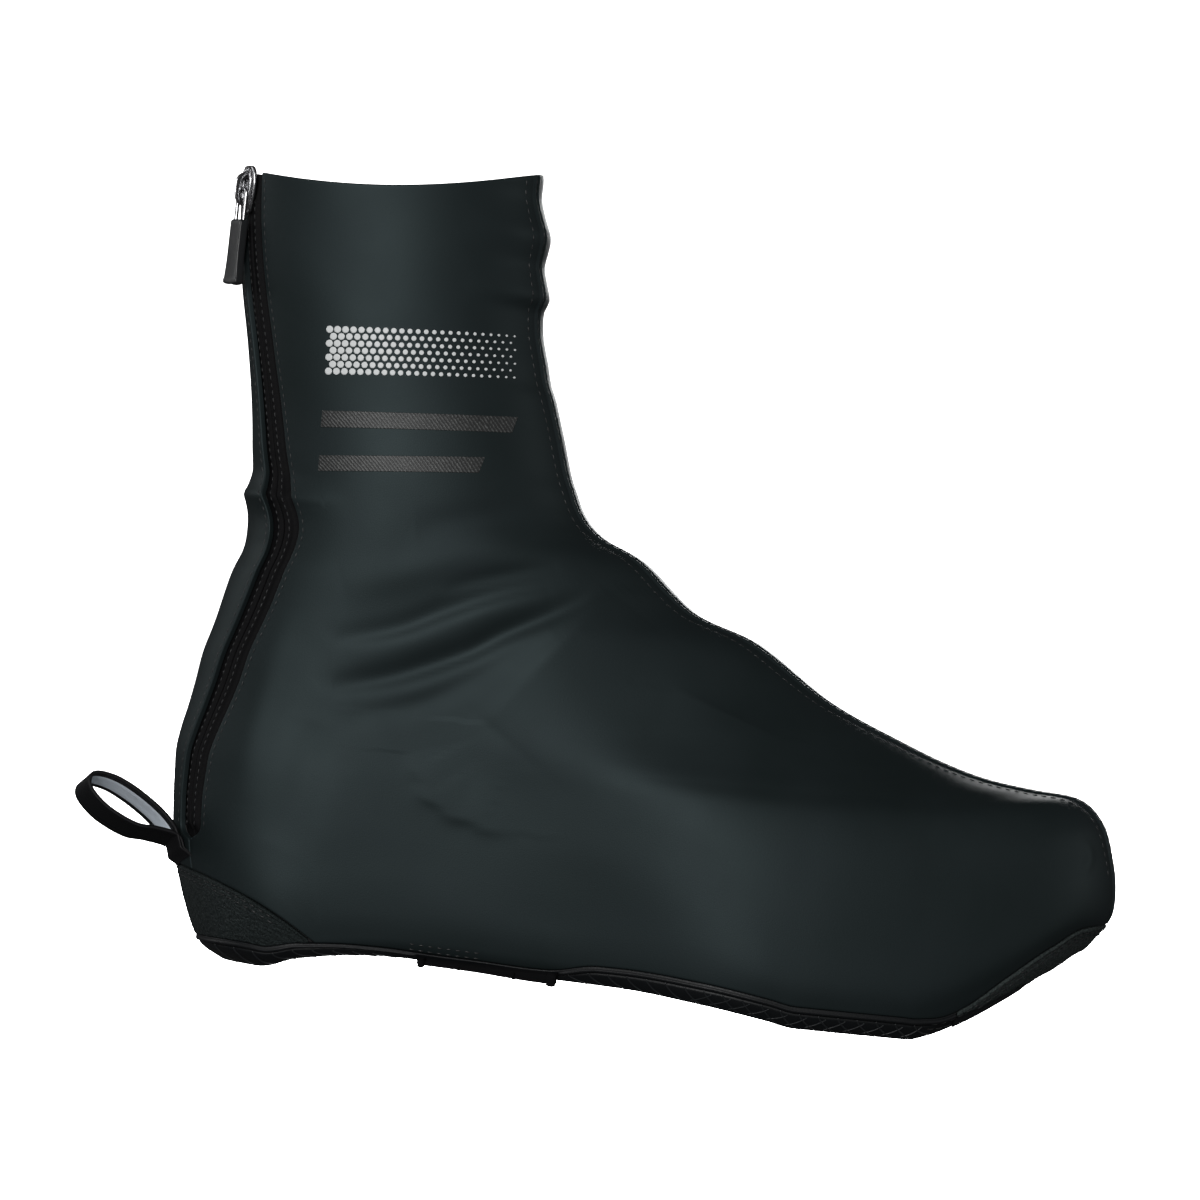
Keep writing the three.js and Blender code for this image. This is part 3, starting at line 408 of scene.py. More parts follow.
def soft_unevenness(points):
    """Slow hills of a few tenths of a millimetre, as cloth over a foot form has."""
    x, y, z = points[..., 0], points[..., 1], points[..., 2]
    return (0.16 * np.sin(x / 17 + 1.3 * np.sin(z / 23)) * np.sin(z / 19 + y / 31 + 0.6)
            + 0.08 * np.sin(x / 7.3 + z / 11 + 2) * np.sin(z / 8.1 - y / 13))


def halve(low, high, is_past, steps=36):
    """Where a test turns from no to yes between two values, for a whole array at once."""
    for _ in range(steps):
        middle = (low + high) / 2
        past = is_past(middle)
        high, low = np.where(past, middle, high), np.where(past, low, middle)
    return (low + high) / 2


def seam_turn(number):
    """Where the front seam lies on each section, on the outer side of the crest."""
    number = np.asarray(number, float)

    def past_seam(turn):
        p = form(number, turn)
        return p[..., 1] < read_table(FRONT_SEAM, p[..., 0] / LENGTH) * BALL_WIDTH
    low, high = np.full(number.shape, math.pi - 0.5), np.full(number.shape, math.pi + 1.3)
    return halve(low, high, past_seam, 40)


def seam_profile(distance):
    """Flat-felled seam: a low band with a fine groove along its middle."""
    band = 0.55 * (1 - smoothstep(np.abs(distance), 1.3, 2.3))
    groove = -0.5 * np.exp(-(distance / 0.35) ** 2)
    return band + groove


def dressed(number, turn, lift=0.0, seam=None):
    """Points of the clothed outer surface, moved out by a lift."""
    number, turn = np.broadcast_arrays(np.asarray(number, float), np.asarray(turn, float))
    base = form(number, turn)
    fade = smoothstep(number, *CLOTH_FADE)
    shift = (fold_depth(base) + ripple_depth(base, turn) + soft_unevenness(base)) * fade
    if seam is not None:
        shift = shift + seam_profile(seam) * smoothstep(number, 2.6, 3.4)
    points = base + outward(number, turn) * (shift + lift)[..., None]
    points[..., 1] += relax(number, turn)
    return points


# ---------------------------------------------------------------- borders of the panels

def solve_up(turn, height, low, high):
    """Section number at which each turn reaches height(x)."""
    def above(number):
        p = form(number, turn)
        return p[..., 2] > height(p[..., 0])
    shape = np.shape(turn)
    return halve(np.full(shape, float(low)), np.full(shape, float(high)), above)


def heel_edge(x):
    """Height of the heel patch's edge, far below where it has ended."""
    t = np.linspace(0, 1, 60)[:, None]
    start = np.array([-20.0, HEEL_PATCH_HEIGHT])
    bend = np.array([HEEL_PATCH_LENGTH * 0.4, HEEL_PATCH_HEIGHT])
    end = np.array([HEEL_PATCH_LENGTH, float(seam_height(HEEL_PATCH_LENGTH)) - 1])
    line = (1 - t) ** 2 * start + 2 * t * (1 - t) * bend + t * t * end
    return np.interp(x, line[:, 0], line[:, 1], right=-5.0)


def low_turn(x, share):
    """About the turn at which the low sections, LENGTH times share long, reach a place."""
    return math.acos(1 - 2 * (x - 15) / (LENGTH * share))


def stretch_at(number, turn, step=0.02):
    """Millimetres along the surface for each unit of turn."""
    return np.linalg.norm(form(number, turn + step) - form(number, turn - step), axis=-1) / (2 * step)


def zip_turn(number, aside=0.0):
    """Turn of the zip's middle line on each section, moved aside by millimetres."""
    number = np.asarray(number, float)
    sec = section_at(number)
    offset = np.clip(read_table(ZIP, number) * HEEL_WIDTH / sec[7], 0, 0.95)
    u = sec[5] * (1 - np.sqrt(1 - offset ** 2))
    middle = -np.arccos(1 - 2 * u)
    return middle + aside / stretch_at(number, middle)


def slot_half(number):
    """Half width of the zip's slot: a thin seam below its round lower end."""
    s = np.clip((np.asarray(number, float) - (ZIP_START - SLOT_END[0])) / SLOT_END[1], 0, 1)
    return SLOT_SEAM + (SLOT_HALF - SLOT_SEAM) * np.sqrt(np.clip(1 - (1 - s) ** 2, 0, 1))


def surface_line(number, turn, lift=0.0, seam=None):
    """Points of the clothed surface and their normals."""
    return dressed(number, turn, lift, seam), outward(number, turn)


def lifted(number, turn, lift):
    """Points of the clothed surface, each moved out by its own lift."""
    return dressed(number, turn) + outward(number, turn) * lift[..., None]


def blunt(values, power):
    """Sines or cosines raised to a power with their sign kept, for a squarish round."""
    return np.sign(values) * np.abs(values) ** power


def round_box(x0, x1, y0, y1, corner, steps):
    """Points round a box with round corners, from its middle right side."""
    line = []
    for cx, cy, start in ((x1 - corner, y1 - corner, 0), (x0 + corner, y1 - corner, 90),
                          (x0 + corner, y0 + corner, 180), (x1 - corner, y0 + corner, 270)):
        for k in range(steps + 1):
            a = math.radians(start + 90 * k / steps)
            line.append((cx + corner * math.cos(a), cy + corner * math.sin(a)))
    return line


# ---------------------------------------------------------------- meshes and materials

def grid_faces(rows, columns, closed=False):
    """Four-sided faces of a grid of points, joined across its last column if closed."""
    i, j = np.meshgrid(np.arange(rows - 1), np.arange(columns if closed else columns - 1), indexing="ij")
    after = (j + 1) % columns
    a, b = i * columns + j, i * columns + after
    return np.stack([a, b, b + columns, a + columns], -1).reshape(-1, 4)


def mesh_piece(name, points, faces, material, body="shoe", node=None, uv=None):
    """A mesh from points in millimetres of the shoe, riding on a body."""
    data = bpy.data.meshes.new(name)
    data.from_pydata(metres(points).reshape(-1, 3).tolist(), [], [list(map(int, face)) for face in faces])
    if uv is not None:
        layer = data.uv_layers.new(name="UVMap")
        loops = np.zeros(len(data.loops), np.int64)
        data.loops.foreach_get("vertex_index", loops)
        layer.data.foreach_set("uv", np.asarray(uv, np.float32)[loops].ravel())
    data.polygons.foreach_set("use_smooth", [True] * len(data.polygons))
    data.validate()
    data.update()
    piece = bpy.data.objects.new(name, data)
    bpy.context.scene.collection.objects.link(piece)
    data.materials.append(material)
    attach(piece, body)
    if node:
        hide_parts(*([node] if isinstance(node, str) else node))
    return piece


def outward_check(piece, middle=SHOE_MIDDLE, toward=False):
    """Turns a skin so that its faces look away from a point in millimetres, or toward it."""
    data = piece.data
    normals = np.zeros(len(data.polygons) * 3)
    centres = np.zeros(len(data.polygons) * 3)
    data.polygons.foreach_get("normal", normals)
    data.polygons.foreach_get("center", centres)
    away = centres.reshape(-1, 3) - metres([middle])[0]
    if ((normals.reshape(-1, 3) * away).sum() < 0) != toward:
        data.flip_normals()
        data.update()


def side_uv(points):
    """Map coordinates of points as seen from the side, 1 for 100 mm."""
    return np.stack([points[..., 0], points[..., 2]], -1).reshape(-1, 2) / 100


def new_material(name, colour, roughness, **extra):
    material = bpy.data.materials.new(name)
    material.use_nodes = True
    nodes, links = material.node_tree.nodes, material.node_tree.links
    shader = nodes["Principled BSDF"]
    shader.inputs["Base Color"].default_value = (*colour, 1)
    shader.inputs["Roughness"].default_value = roughness
    for key, value in extra.items():
        shader.inputs[key.replace("_", " ")].default_value = value
    return material, nodes, links, shader


def link_noise(nodes, links, scale, detail=2.0, rough=0.5):
    place = nodes.new("ShaderNodeTexCoord")
    noise = nodes.new("ShaderNodeTexNoise")
    noise.inputs["Scale"].default_value = scale
    noise.inputs["Detail"].default_value = detail
    noise.inputs["Roughness"].default_value = rough
    links.new(place.outputs["Object"], noise.inputs["Vector"])
    return noise


def add_bump(nodes, links, shader, height, distance, strength=1.0):
    bump = nodes.new("ShaderNodeBump")
    bump.inputs["Distance"].default_value = distance
    bump.inputs["Strength"].default_value = strength
    links.new(height, bump.inputs["Height"])
    previous = shader.inputs["Normal"].links
    if previous:
        links.new(previous[0].from_socket, bump.inputs["Normal"])
    links.new(bump.outputs["Normal"], shader.inputs["Normal"])


def vary(nodes, links, factor, low, high, socket):
    ramp = nodes.new("ShaderNodeMapRange")
    ramp.inputs["From Min"].default_value = 0.3
    ramp.inputs["From Max"].default_value = 0.7
    ramp.inputs["To Min"].default_value = low
    ramp.inputs["To Max"].default_value = high
    links.new(factor, ramp.inputs["Value"])
    links.new(ramp.outputs["Result"], socket)


def vary_colour(nodes, links, factor, dark, light, socket):
    ramp = nodes.new("ShaderNodeValToRGB")
    ramp.color_ramp.elements[0].position = 0.32
    ramp.color_ramp.elements[1].position = 0.7
    ramp.color_ramp.elements[0].color = (*dark, 1)
    ramp.color_ramp.elements[1].color = (*light, 1)
    links.new(factor, ramp.inputs["Fac"])
    links.new(ramp.outputs["Color"], socket)


def make_upper_material():
    material, nodes, links, shader = new_material(
        "upper_fabric", (0.007, 0.010, 0.0105), 0.58, Specular_IOR_Level=0.36,
        Specular_Tint=(0.74, 0.96, 1.0, 1))
    broad = link_noise(nodes, links, 28, 3)
    fine = link_noise(nodes, links, 2600, 2, 0.6)
    vary_colour(nodes, links, broad.outputs["Fac"], (0.0064, 0.0096, 0.0098), (0.0086, 0.0120, 0.0130),
                shader.inputs["Base Color"])
    vary(nodes, links, broad.outputs["Fac"], 0.55, 0.61, shader.inputs["Roughness"])
    add_bump(nodes, links, shader, fine.outputs["Fac"], 0.00005, 0.5)
    return material


def make_patch_material(name, dark, light):
    material, nodes, links, shader = new_material(
        name, (0.008, 0.010, 0.010), 0.5, Specular_IOR_Level=0.4, Specular_Tint=(0.8, 0.97, 1, 1))
    crinkle = link_noise(nodes, links, 1500, 4, 0.65)
    fine = link_noise(nodes, links, 4200, 2, 0.6)
    vary_colour(nodes, links, crinkle.outputs["Fac"], dark, light, shader.inputs["Base Color"])
    vary(nodes, links, crinkle.outputs["Fac"], 0.75, 0.40, shader.inputs["Roughness"])
    add_bump(nodes, links, shader, crinkle.outputs["Fac"], 0.0007, 1.0)
    add_bump(nodes, links, shader, fine.outputs["Fac"], 0.0001, 0.6)
    return material


def make_sole_material():
    material, nodes, links, shader = new_material(
        "sole_print", (0.0045, 0.0055, 0.0065), 0.5, Specular_IOR_Level=0.3)
    fine = link_noise(nodes, links, 2200, 2, 0.6)
    vary(nodes, links, fine.outputs["Fac"], 0.42, 0.6, shader.inputs["Roughness"])
    add_bump(nodes, links, shader, fine.outputs["Fac"], 0.00008, 0.6)
    return material


def make_plain(name, colour, roughness, scale=2400, depth=0.00006, **extra):
    material, nodes, links, shader = new_material(name, colour, roughness, **extra)
    fine = link_noise(nodes, links, scale, 2, 0.6)
    vary(nodes, links, fine.outputs["Fac"], roughness - 0.06, roughness + 0.06, shader.inputs["Roughness"])
    add_bump(nodes, links, shader, fine.outputs["Fac"], depth, 0.6)
    return material


UPPER = make_upper_material()
# The toe and heel patches are one crinkled fabric. The heel's copy gets much darker colours than the toe's,
# as painted shade on the heel.
TOE_CLOTH = make_patch_material("toe_fabric", (0.004, 0.005, 0.005), (0.062, 0.076, 0.072))
HEEL_CLOTH_PAINTED_SHADE = make_patch_material("heel_fabric_painted_shade", (0.002, 0.0026, 0.0026), (0.014, 0.018, 0.017))
SOLE = make_sole_material()
LINING = make_plain("lining_fabric", (0.014, 0.014, 0.015), 0.85, 1500, 0.0002, Sheen_Weight=0.2)
TAPE = make_plain("zip_tape", (0.0035, 0.0035, 0.004), 0.75, 1800, 0.00015, Specular_IOR_Level=0.14)
STRAP_CLOTH = make_plain("strap_fabric", (0.006, 0.006, 0.007), 0.75, 1400, 0.0002, Specular_IOR_Level=0.2)
THREAD = make_plain("thread", (0.016, 0.017, 0.018), 0.4, 3000, 0.00004)
PRINT = make_plain("raised_print", (0.012, 0.014, 0.016), 0.42, 2400, 0.00004)
SILVER = make_plain("loop_film", (0.78, 0.83, 0.88), 0.5, 1500, 0.00008, Metallic=0.2)
WEBBING = make_plain("loop_webbing", (0.005, 0.005, 0.006), 0.6, 1600, 0.0001, Specular_IOR_Level=0.25)
METAL = make_plain("slider_metal", (0.42, 0.42, 0.43), 0.22, 900, 0.00002, Metallic=1.0)
RUBBER = make_plain("pull_rubber", (0.012, 0.013, 0.014), 0.38, 1800, 0.00003)


# ---------------------------------------------------------------- panels

EDGE = [(0.0, 0.0), (0.16, -0.04), (0.30, -0.14), (0.38, -0.28), (0.42, -0.5)]


def roll_edge(points, normals, wall, axis, end):
    """Extra rows past a border that turn down into the cloth's cut edge."""
    p = np.moveaxis(points, axis, 0)
    n = np.moveaxis(normals, axis, 0)
    border, inner = (p[-1], p[-2]) if end else (p[0], p[1])
    up = n[-1] if end else n[0]
    away = border - inner
    away -= (away * up).sum(-1, keepdims=True) * up
    away /= np.maximum(np.linalg.norm(away, axis=-1, keepdims=True), 1e-9)
    rows = [border + away * out + up * lift for out, lift in EDGE[1:]]
    rows.append(border + away * EDGE[-1][0] - up * wall)
    return rows


def make_bar_material():
    """Reflective film with a fine woven hatch and worn specks."""
    material, nodes, links, shader = new_material("bar_film", (0.05, 0.052, 0.052), 0.5, Metallic=0.35)
    place = nodes.new("ShaderNodeTexCoord")
    wave = nodes.new("ShaderNodeTexWave")
    wave.inputs["Scale"].default_value = 5.2
    wave.inputs["Distortion"].default_value = 2.5
    wave.inputs["Detail"].default_value = 2.0
    wave.inputs["Detail Scale"].default_value = 3.0
    wave.bands_direction = "DIAGONAL"
    links.new(place.outputs["UV"], wave.inputs["Vector"])
    speck = link_noise(nodes, links, 1500, 2, 0.7)
    both = nodes.new("ShaderNodeMath")
    both.operation = "MULTIPLY"
    links.new(wave.outputs["Fac"], both.inputs[0])
    links.new(speck.outputs["Fac"], both.inputs[1])
    vary_colour(nodes, links, both.outputs["Value"], (0.030, 0.031, 0.031), (0.16, 0.165, 0.162),
                shader.inputs["Base Color"])
    vary(nodes, links, speck.outputs["Fac"], 0.42, 0.6, shader.inputs["Roughness"])
    add_bump(nodes, links, shader, both.outputs["Value"], 0.00012, 0.8)
    return material


BAR = make_bar_material()
DOT = make_plain("dot_film", (0.80, 0.82, 0.82), 0.5, 1800, 0.00005)


def upper_grid(rows, outer_columns, inner_columns):
    """Grid of the upper: its columns run from the zip's inner edge round to its outer edge."""
    level = np.linspace(0, 1, rows)
    s = np.linspace(0, 1, inner_columns)
    t = np.linspace(0, 1, outer_columns)[1:]
    inset = EDGE[-1][0]
    number = np.zeros((rows, inner_columns + outer_columns - 1))
    turn = np.zeros_like(number)
    low = np.full(number.shape[1], 3.0)
    for _ in range(6):
        number = low[None] + (COLLAR - low)[None] * level[:, None]
        half = slot_half(number) + inset
        plain = SLOT_SEAM + inset
        start = zip_turn(number[:, :1], plain)
        end = 2 * math.pi + zip_turn(number[:, -1:], -plain)
        start_open = zip_turn(number[:, :1], half[:, :1]) - start
        end_open = 2 * math.pi + zip_turn(number[:, -1:], -half[:, -1:]) - end
        seam = seam_turn(number[:, inner_columns - 1:inner_columns])
        inner = start + (seam - start) * (1 - (1 - s[None]) ** 1.25) + start_open * (1 - s[None]) ** 8
        outer = seam + (end - seam) * t[None] ** 1.25 + end_open * t[None] ** 8
        turn = np.concatenate([inner, outer], 1)
        seam_low = solve_up(turn[0], lambda x: seam_height(x) + HALF_GAP + inset, 0, 9)
        patch_low = solve_up(turn[0], lambda x: heel_edge(x) + HALF_GAP + inset, 0, 9)
        low = np.maximum(seam_low, patch_low)
    return number, turn, inner_columns - 1


def make_upper():
    """The cloth of the cover, its seam raised and its four borders rolled to cut edges."""
    number, turn, middle = upper_grid(*UPPER_GRID)
    base = form(number, turn)
    distance = np.linalg.norm(base - base[:, middle:middle + 1], axis=-1)
    distance[:, :middle] *= -1
    points, normals = surface_line(number, turn, 0.0, distance)
    for axis in (0, 1):
        before = roll_edge(points, normals, WALL, axis, False)[::-1]
        after = roll_edge(points, normals, WALL, axis, True)
        p, n = np.moveaxis(points, axis, 0), np.moveaxis(normals, axis, 0)
        p = np.concatenate([before, p, after])
        n = np.concatenate([np.repeat(n[:1], len(before), 0), n, np.repeat(n[-1:], len(after), 0)])
        points, normals = np.moveaxis(p, 0, axis), np.moveaxis(n, 0, axis)
    piece = mesh_piece("upper_cloth", points, grid_faces(*points.shape[:2]), UPPER, node="upper",
                       uv=side_uv(points))
    outward_check(piece)


def plane_turn(number, side, x):
    """Turn at which each section crosses the place x on one side: 1 inner, -1 outer."""
    sec = section_at(number)
    u = np.clip((x - sec[0]) / (sec[2] - sec[0]), 0, 1)
    turn = np.arccos(1 - 2 * u)
    return turn if side > 0 else 2 * math.pi - turn


def make_sole():
    inset = HALF_GAP
    rows, columns = 44, 760
    share = np.linspace(0, 1, columns)
    top = np.full(columns, 2.0)
    for _ in range(4):
        number = np.linspace(0, 1, rows)[:, None] * top[None]
        outer = plane_turn(number[:, :1], -1, TOE_PATCH_START - HALF_GAP)
        inner = plane_turn(number[:, -1:], 1, TOE_PATCH_START - HALF_GAP)
        turn = (outer - 2 * math.pi) + (inner - outer + 2 * math.pi) * share[None]
        top = solve_up(turn[-1], lambda x: seam_height(x) - HALF_GAP - inset, 0, 6)
    base = form(number, turn)
    normal = outward(number, turn)
    below = np.linalg.norm(base - base[-1:], axis=-1)
    x = base[..., 0]
    strap = smoothstep(x, STRAP[0] - 2, STRAP[0]) * (1 - smoothstep(x, STRAP[1], STRAP[1] + 2))
    lip = 0.5 * np.exp(-((below - 0.9) / 0.6) ** 4) * (1 - strap)
    groove = 0.3 * np.exp(-((below - 1.9) / 0.4) ** 2) * (1 - strap)
    points = base + normal * (lip - groove)[..., None]
    tuck = roll_edge(points, normal, SOLE_WALL, 0, True)
    points = np.concatenate([points, np.array(tuck)])
    piece = mesh_piece("sole_side", points, grid_faces(points.shape[0], columns), SOLE, node="sole",
                       uv=side_uv(points))
    outward_check(piece)


def in_hole(x, y, hole):
    """Signed distance to a round-cornered hole, below zero inside."""
    low, high, half, corner = hole
    qx = np.abs(x - (low + high) / 2) - (high - low) / 2 + corner
    qy = np.abs(y) - half + corner
    outside = np.hypot(np.maximum(qx, 0), np.maximum(qy, 0))
    return outside + np.minimum(np.maximum(qx, qy), 0) - corner


def underside_outline(x):
    """Outer and inner edge of the lowest section at places along the shoe."""
    outer = form(np.zeros_like(x), plane_turn(np.zeros_like(x), -1, x))
    inner = form(np.zeros_like(x), plane_turn(np.zeros_like(x), 1, x))
    return outer[:, 1], inner[:, 1]


def flat_sheet(x_from, x_to, steps, across, lift, holes):
    """Grid over the underside between two places along the shoe, with its holes cut out."""
    back, front = SECTIONS[0][0], SECTIONS[0][2]
    s = np.linspace(0, 1, steps)
    x = x_from + (x_to - x_from) * s
    if x_from <= back:
        x = back + (x_to - back) * (1 - np.cos(s * math.pi / 2))
    if x_to >= front:
        x = x_from + (front - x_from) * np.sin(s * math.pi / 2)
    low, high = underside_outline(x)
    y = low[:, None] + (high - low)[:, None] * np.linspace(0, 1, across)[None]
    x = np.repeat(x[:, None], across, 1)
    cell = 1.3
    keep = np.ones(x.shape, bool)
    for hole in holes:
        gap = in_hole(x, y, hole)
        step = 0.05
        dx = (in_hole(x + step, y, hole) - in_hole(x - step, y, hole)) / (2 * step)
        dy = (in_hole(x, y + step, hole) - in_hole(x, y - step, hole)) / (2 * step)
        close = np.abs(gap) < cell * 0.5
        close[:, 0] = close[:, -1] = False
        x = np.where(close, x - gap * dx, x)
        y = np.where(close, y - gap * dy, y)
        keep &= ~(gap < -cell * 0.5)
    z = underside(x) + lift
    points = np.stack([x, y, z], -1).reshape(-1, 3)
    faces = grid_faces(steps, across)
    centre = points[faces].mean(1)
    solid = keep.ravel()[faces].all(1)
    for hole in holes:
        solid &= in_hole(centre[:, 0], centre[:, 1], hole) > -0.05
    faces = faces[solid]
    used = np.unique(faces)
    order = np.full(len(points), -1)
    order[used] = np.arange(len(used))
    return points[used], order[faces]


def make_underside():
    holes = (CLEAT, HEEL_HOLE)
    points, faces = flat_sheet(SECTIONS[0][0], TOE_PATCH_START - HALF_GAP, 260, 96, 0.0, holes)
    uv = points[:, :2] / 100
    piece = mesh_piece("sole_underside", points, faces, SOLE, uv=uv)
    outward_check(piece)
    for name, hole in (("cleat_edge", CLEAT), ("heel_edge", HEEL_HOLE)):
        make_hole_edge(name, hole)


def hole_path(hole, count):
    """Even steps round the edge of a hole."""
    low, high, half, corner = hole
    line = round_box(low, high, -half, half, corner, 12)
    line = np.array(line + line[:1])
    gone = lengths_along(line)
    want = np.linspace(0, gone[-1], count, endpoint=False)
    return np.stack([np.interp(want, gone, line[:, 0]), np.interp(want, gone, line[:, 1])], -1)


def make_hole_edge(name, hole):
    """Bound edge of a hole: a soft band folded round the cut."""
    count = 160
    line = hole_path(hole, count)
    ahead = np.roll(line, -1, 0) - np.roll(line, 1, 0)
    ahead /= np.linalg.norm(ahead, axis=1, keepdims=True)
    side = np.stack([ahead[:, 1], -ahead[:, 0]], -1)
    profile = [(3.6, 0.0), (3.3, -0.35), (2.4, -0.5), (1.2, -0.5), (0.2, -0.42), (-0.35, 0.0),
               (-0.55, 0.6), (-0.6, 1.4), (-0.35, 2.3), (0.2, 2.7), (1.4, 2.85), (3.2, 2.8), (3.6, 2.4)]
    points = []
    for out, up in profile:
        xy = line + side * out
        points.append(np.column_stack([xy, np.maximum(underside(xy[:, 0]) + up, 0.02)]))
    points = np.array(points)
    faces = grid_faces(len(profile), count, closed=True)
    piece = mesh_piece(name, points, faces, TAPE)
    recalculate(piece)


def recalculate(piece):
    """Makes the faces of a closed or nearly closed mesh look outwards."""
    made = bmesh.new()
    made.from_mesh(piece.data)
    bmesh.ops.recalc_face_normals(made, faces=made.faces)
    made.to_mesh(piece.data)
    made.free()


def patch_lip(base):
    """Folded edge along the upper border of a patch, with a groove under it."""
    below = np.linalg.norm(base - base[-1:], axis=-1)
    return 0.24 * np.exp(-((below - 0.55) / 0.4) ** 4) - 0.2 * np.exp(-((below - 1.3) / 0.3) ** 2)


def make_toe_patch():
    inset = HALF_GAP + EDGE[-1][0]
    rows, columns = 60, 260
    share = np.linspace(0, 1, columns)
    top = np.full(columns, 2.0)
    start_x = TOE_PATCH_START + HALF_GAP
    for _ in range(5):
        number = np.linspace(0, 1, rows)[:, None] * top[None]
        inner = plane_turn(number[:, :1], 1, start_x)
        outer = plane_turn(number[:, -1:], -1, start_x)
        turn = inner + (outer - inner) * share[None]
        top = solve_up(turn[-1], lambda x: seam_height(x) - inset, 0, 8)
    base = form(number, turn)
    normal = outward(number, turn)
    x, y, z = base[..., 0], base[..., 1], base[..., 2]
    grain = 0.10 * np.sin(x * 2.9 + 1.7 * np.sin(z * 1.3)) * np.sin(z * 2.6 + y * 1.1)
    lip = patch_lip(base)
    points = base + normal * (grain + 0.1 + lip)[..., None]
    tuck = roll_edge(points, normal, WALL, 0, True)
    points = np.concatenate([points, np.array(tuck)])
    faces = grid_faces(points.shape[0], columns)
    piece = mesh_piece("toe_patch_side", points, faces, TOE_CLOTH, node="toe_patch")
    outward_check(piece)
    points, faces = flat_sheet(start_x, SECTIONS[0][2], 70, 90, 0.0, ())
    piece = mesh_piece("toe_patch_under", points, faces, TOE_CLOTH)
    outward_check(piece)


def make_heel_patch():
    inset = HALF_GAP + EDGE[-1][0]
    rows, columns = 64, 300
    reach = low_turn(HEEL_PATCH_LENGTH + 2, 0.95)
    turn = np.linspace(-reach, reach, columns)
    low = solve_up(turn, lambda x: seam_height(x) + inset, 0, 9)
    high = solve_up(turn, lambda x: heel_edge(x) - inset, 0, 9)
    keep = np.flatnonzero(high > low + 0.01)
    turn = np.linspace(turn[keep[0]], turn[keep[-1]], columns)
    low = solve_up(turn, lambda x: seam_height(x) + inset, 0, 9)
    high = np.maximum(solve_up(turn, lambda x: heel_edge(x) - inset, 0, 9), low + 0.005)
    level = np.linspace(0, 1, rows)[:, None]
    number = low[None] + (high - low)[None] * level
    grid_turn = np.repeat(turn[None], rows, 0)
    base = form(number, grid_turn)
    normal = outward(number, grid_turn)
    x, y, z = base[..., 0], base[..., 1], base[..., 2]
    grain = 0.10 * np.sin(y * 2.7 + 1.7 * np.sin(z * 1.3)) * np.sin(z * 2.5 + x * 1.2)
    points = base + normal * (grain + 0.1 + patch_lip(base))[..., None]
    low_tuck = roll_edge(points, normal, WALL, 0, False)[::-1]
    high_tuck = roll_edge(points, normal, WALL, 0, True)
    points = np.concatenate([np.array(low_tuck), points, np.array(high_tuck)])
    faces = grid_faces(points.shape[0], columns)
    piece = mesh_piece("heel_patch_cloth", points, faces, HEEL_CLOTH_PAINTED_SHADE, node="heel_patch")
    outward_check(piece)


def make_lining():
    """Inner face of the whole cover, open at the collar, at the zip and below."""
    rows, columns = 120, 150
    level = np.linspace(0, 1, rows)[:, None]
    number = np.repeat(level * COLLAR, columns, 1)
    half = slot_half(number[:, :1]) + 0.2
    start = zip_turn(number[:, :1], half)
    end = 2 * math.pi + zip_turn(number[:, :1], -half)
    turn = start + (end - start) * np.linspace(0, 1, columns)[None]
    depth = -WALL - (SOLE_WALL - WALL) * (1 - smoothstep(number, 0, 1.5))
    fade = smoothstep(number, *CLOTH_FADE)
    base = form(number, turn)
    shift = (fold_depth(base) + ripple_depth(base, turn)) * fade
    inner = base + outward(number, turn) * (shift + depth)[..., None]
    inner[..., 1] += relax(number, turn)
    inner[..., 2] = np.maximum(inner[..., 2], underside(inner[..., 0]) + SOLE_WALL * 0.98)
    faces = grid_faces(rows, columns)
    mesh_piece("lining_sides", inner, faces[:, ::-1], LINING)
    points, faces = flat_sheet(SECTIONS[0][0], SECTIONS[0][2], 200, 60, SOLE_WALL, (CLEAT, HEEL_HOLE))
    mesh_piece("lining_floor", points, faces, LINING)


# ---------------------------------------------------------------- zip

TAPE_PROFILE = [
    (0.22, -1.9), (0.24, -1.2), (0.32, -0.9), (0.5, -0.72), (0.9, -0.6), (1.5, -0.55), (2.1, -0.6),
    (2.5, -0.85), (2.75, -1.25), (3.1, -1.75), (3.7, -2.1), (4.6, -2.27), (6.0, -2.3), (7.8, -2.3),
    (8.0, -2.5), (8.0, -2.9), (7.8, -3.1), (4.0, -3.1), (0.4, -3.1), (0.22, -2.9),
]


def make_zip_tape(name, side, node):
    stations = 420
    number = np.linspace(ZIP_START - 0.25, COLLAR - 0.05, stations)[:, None]
    aside = np.array([a for a, _ in TAPE_PROFILE])[None] * side
    lift = np.array([b for _, b in TAPE_PROFILE])[None]
    raised = smoothstep(number, ZIP_START - 0.02, ZIP_START + 0.3)
    lift = np.minimum(lift, TAPE_TOP) * (1 - raised) + lift * raised
    turn = zip_turn(number, aside)
    number = np.repeat(number, len(TAPE_PROFILE), 1)
    points = lifted(number, turn, lift)
    gone = np.linspace(0, ZIP_LENGTH, stations)[:, None] + 0 * aside
    uv = np.stack([gone / 100, np.abs(aside) / 100 + 0 * gone], -1).reshape(-1, 2)
    faces = grid_faces(stations, len(TAPE_PROFILE), closed=True)
    piece = mesh_piece(name, points, faces, TAPE, node=node, uv=uv)
    recalculate(piece)


# ---------------------------------------------------------------- stitches

STITCH_SINK = 0.06
STITCH_SHAPE = [
    (-0.5, 0.25), (-0.42, 0.75), (-0.2, 1.0), (0.0, 1.05), (0.2, 1.0), (0.42, 0.75), (0.5, 0.25),
]


def point_at(at, gone, values):
    """Values of a line's rows at a length along it."""
    return np.array([np.interp(at, gone, values[:, c]) for c in range(3)])


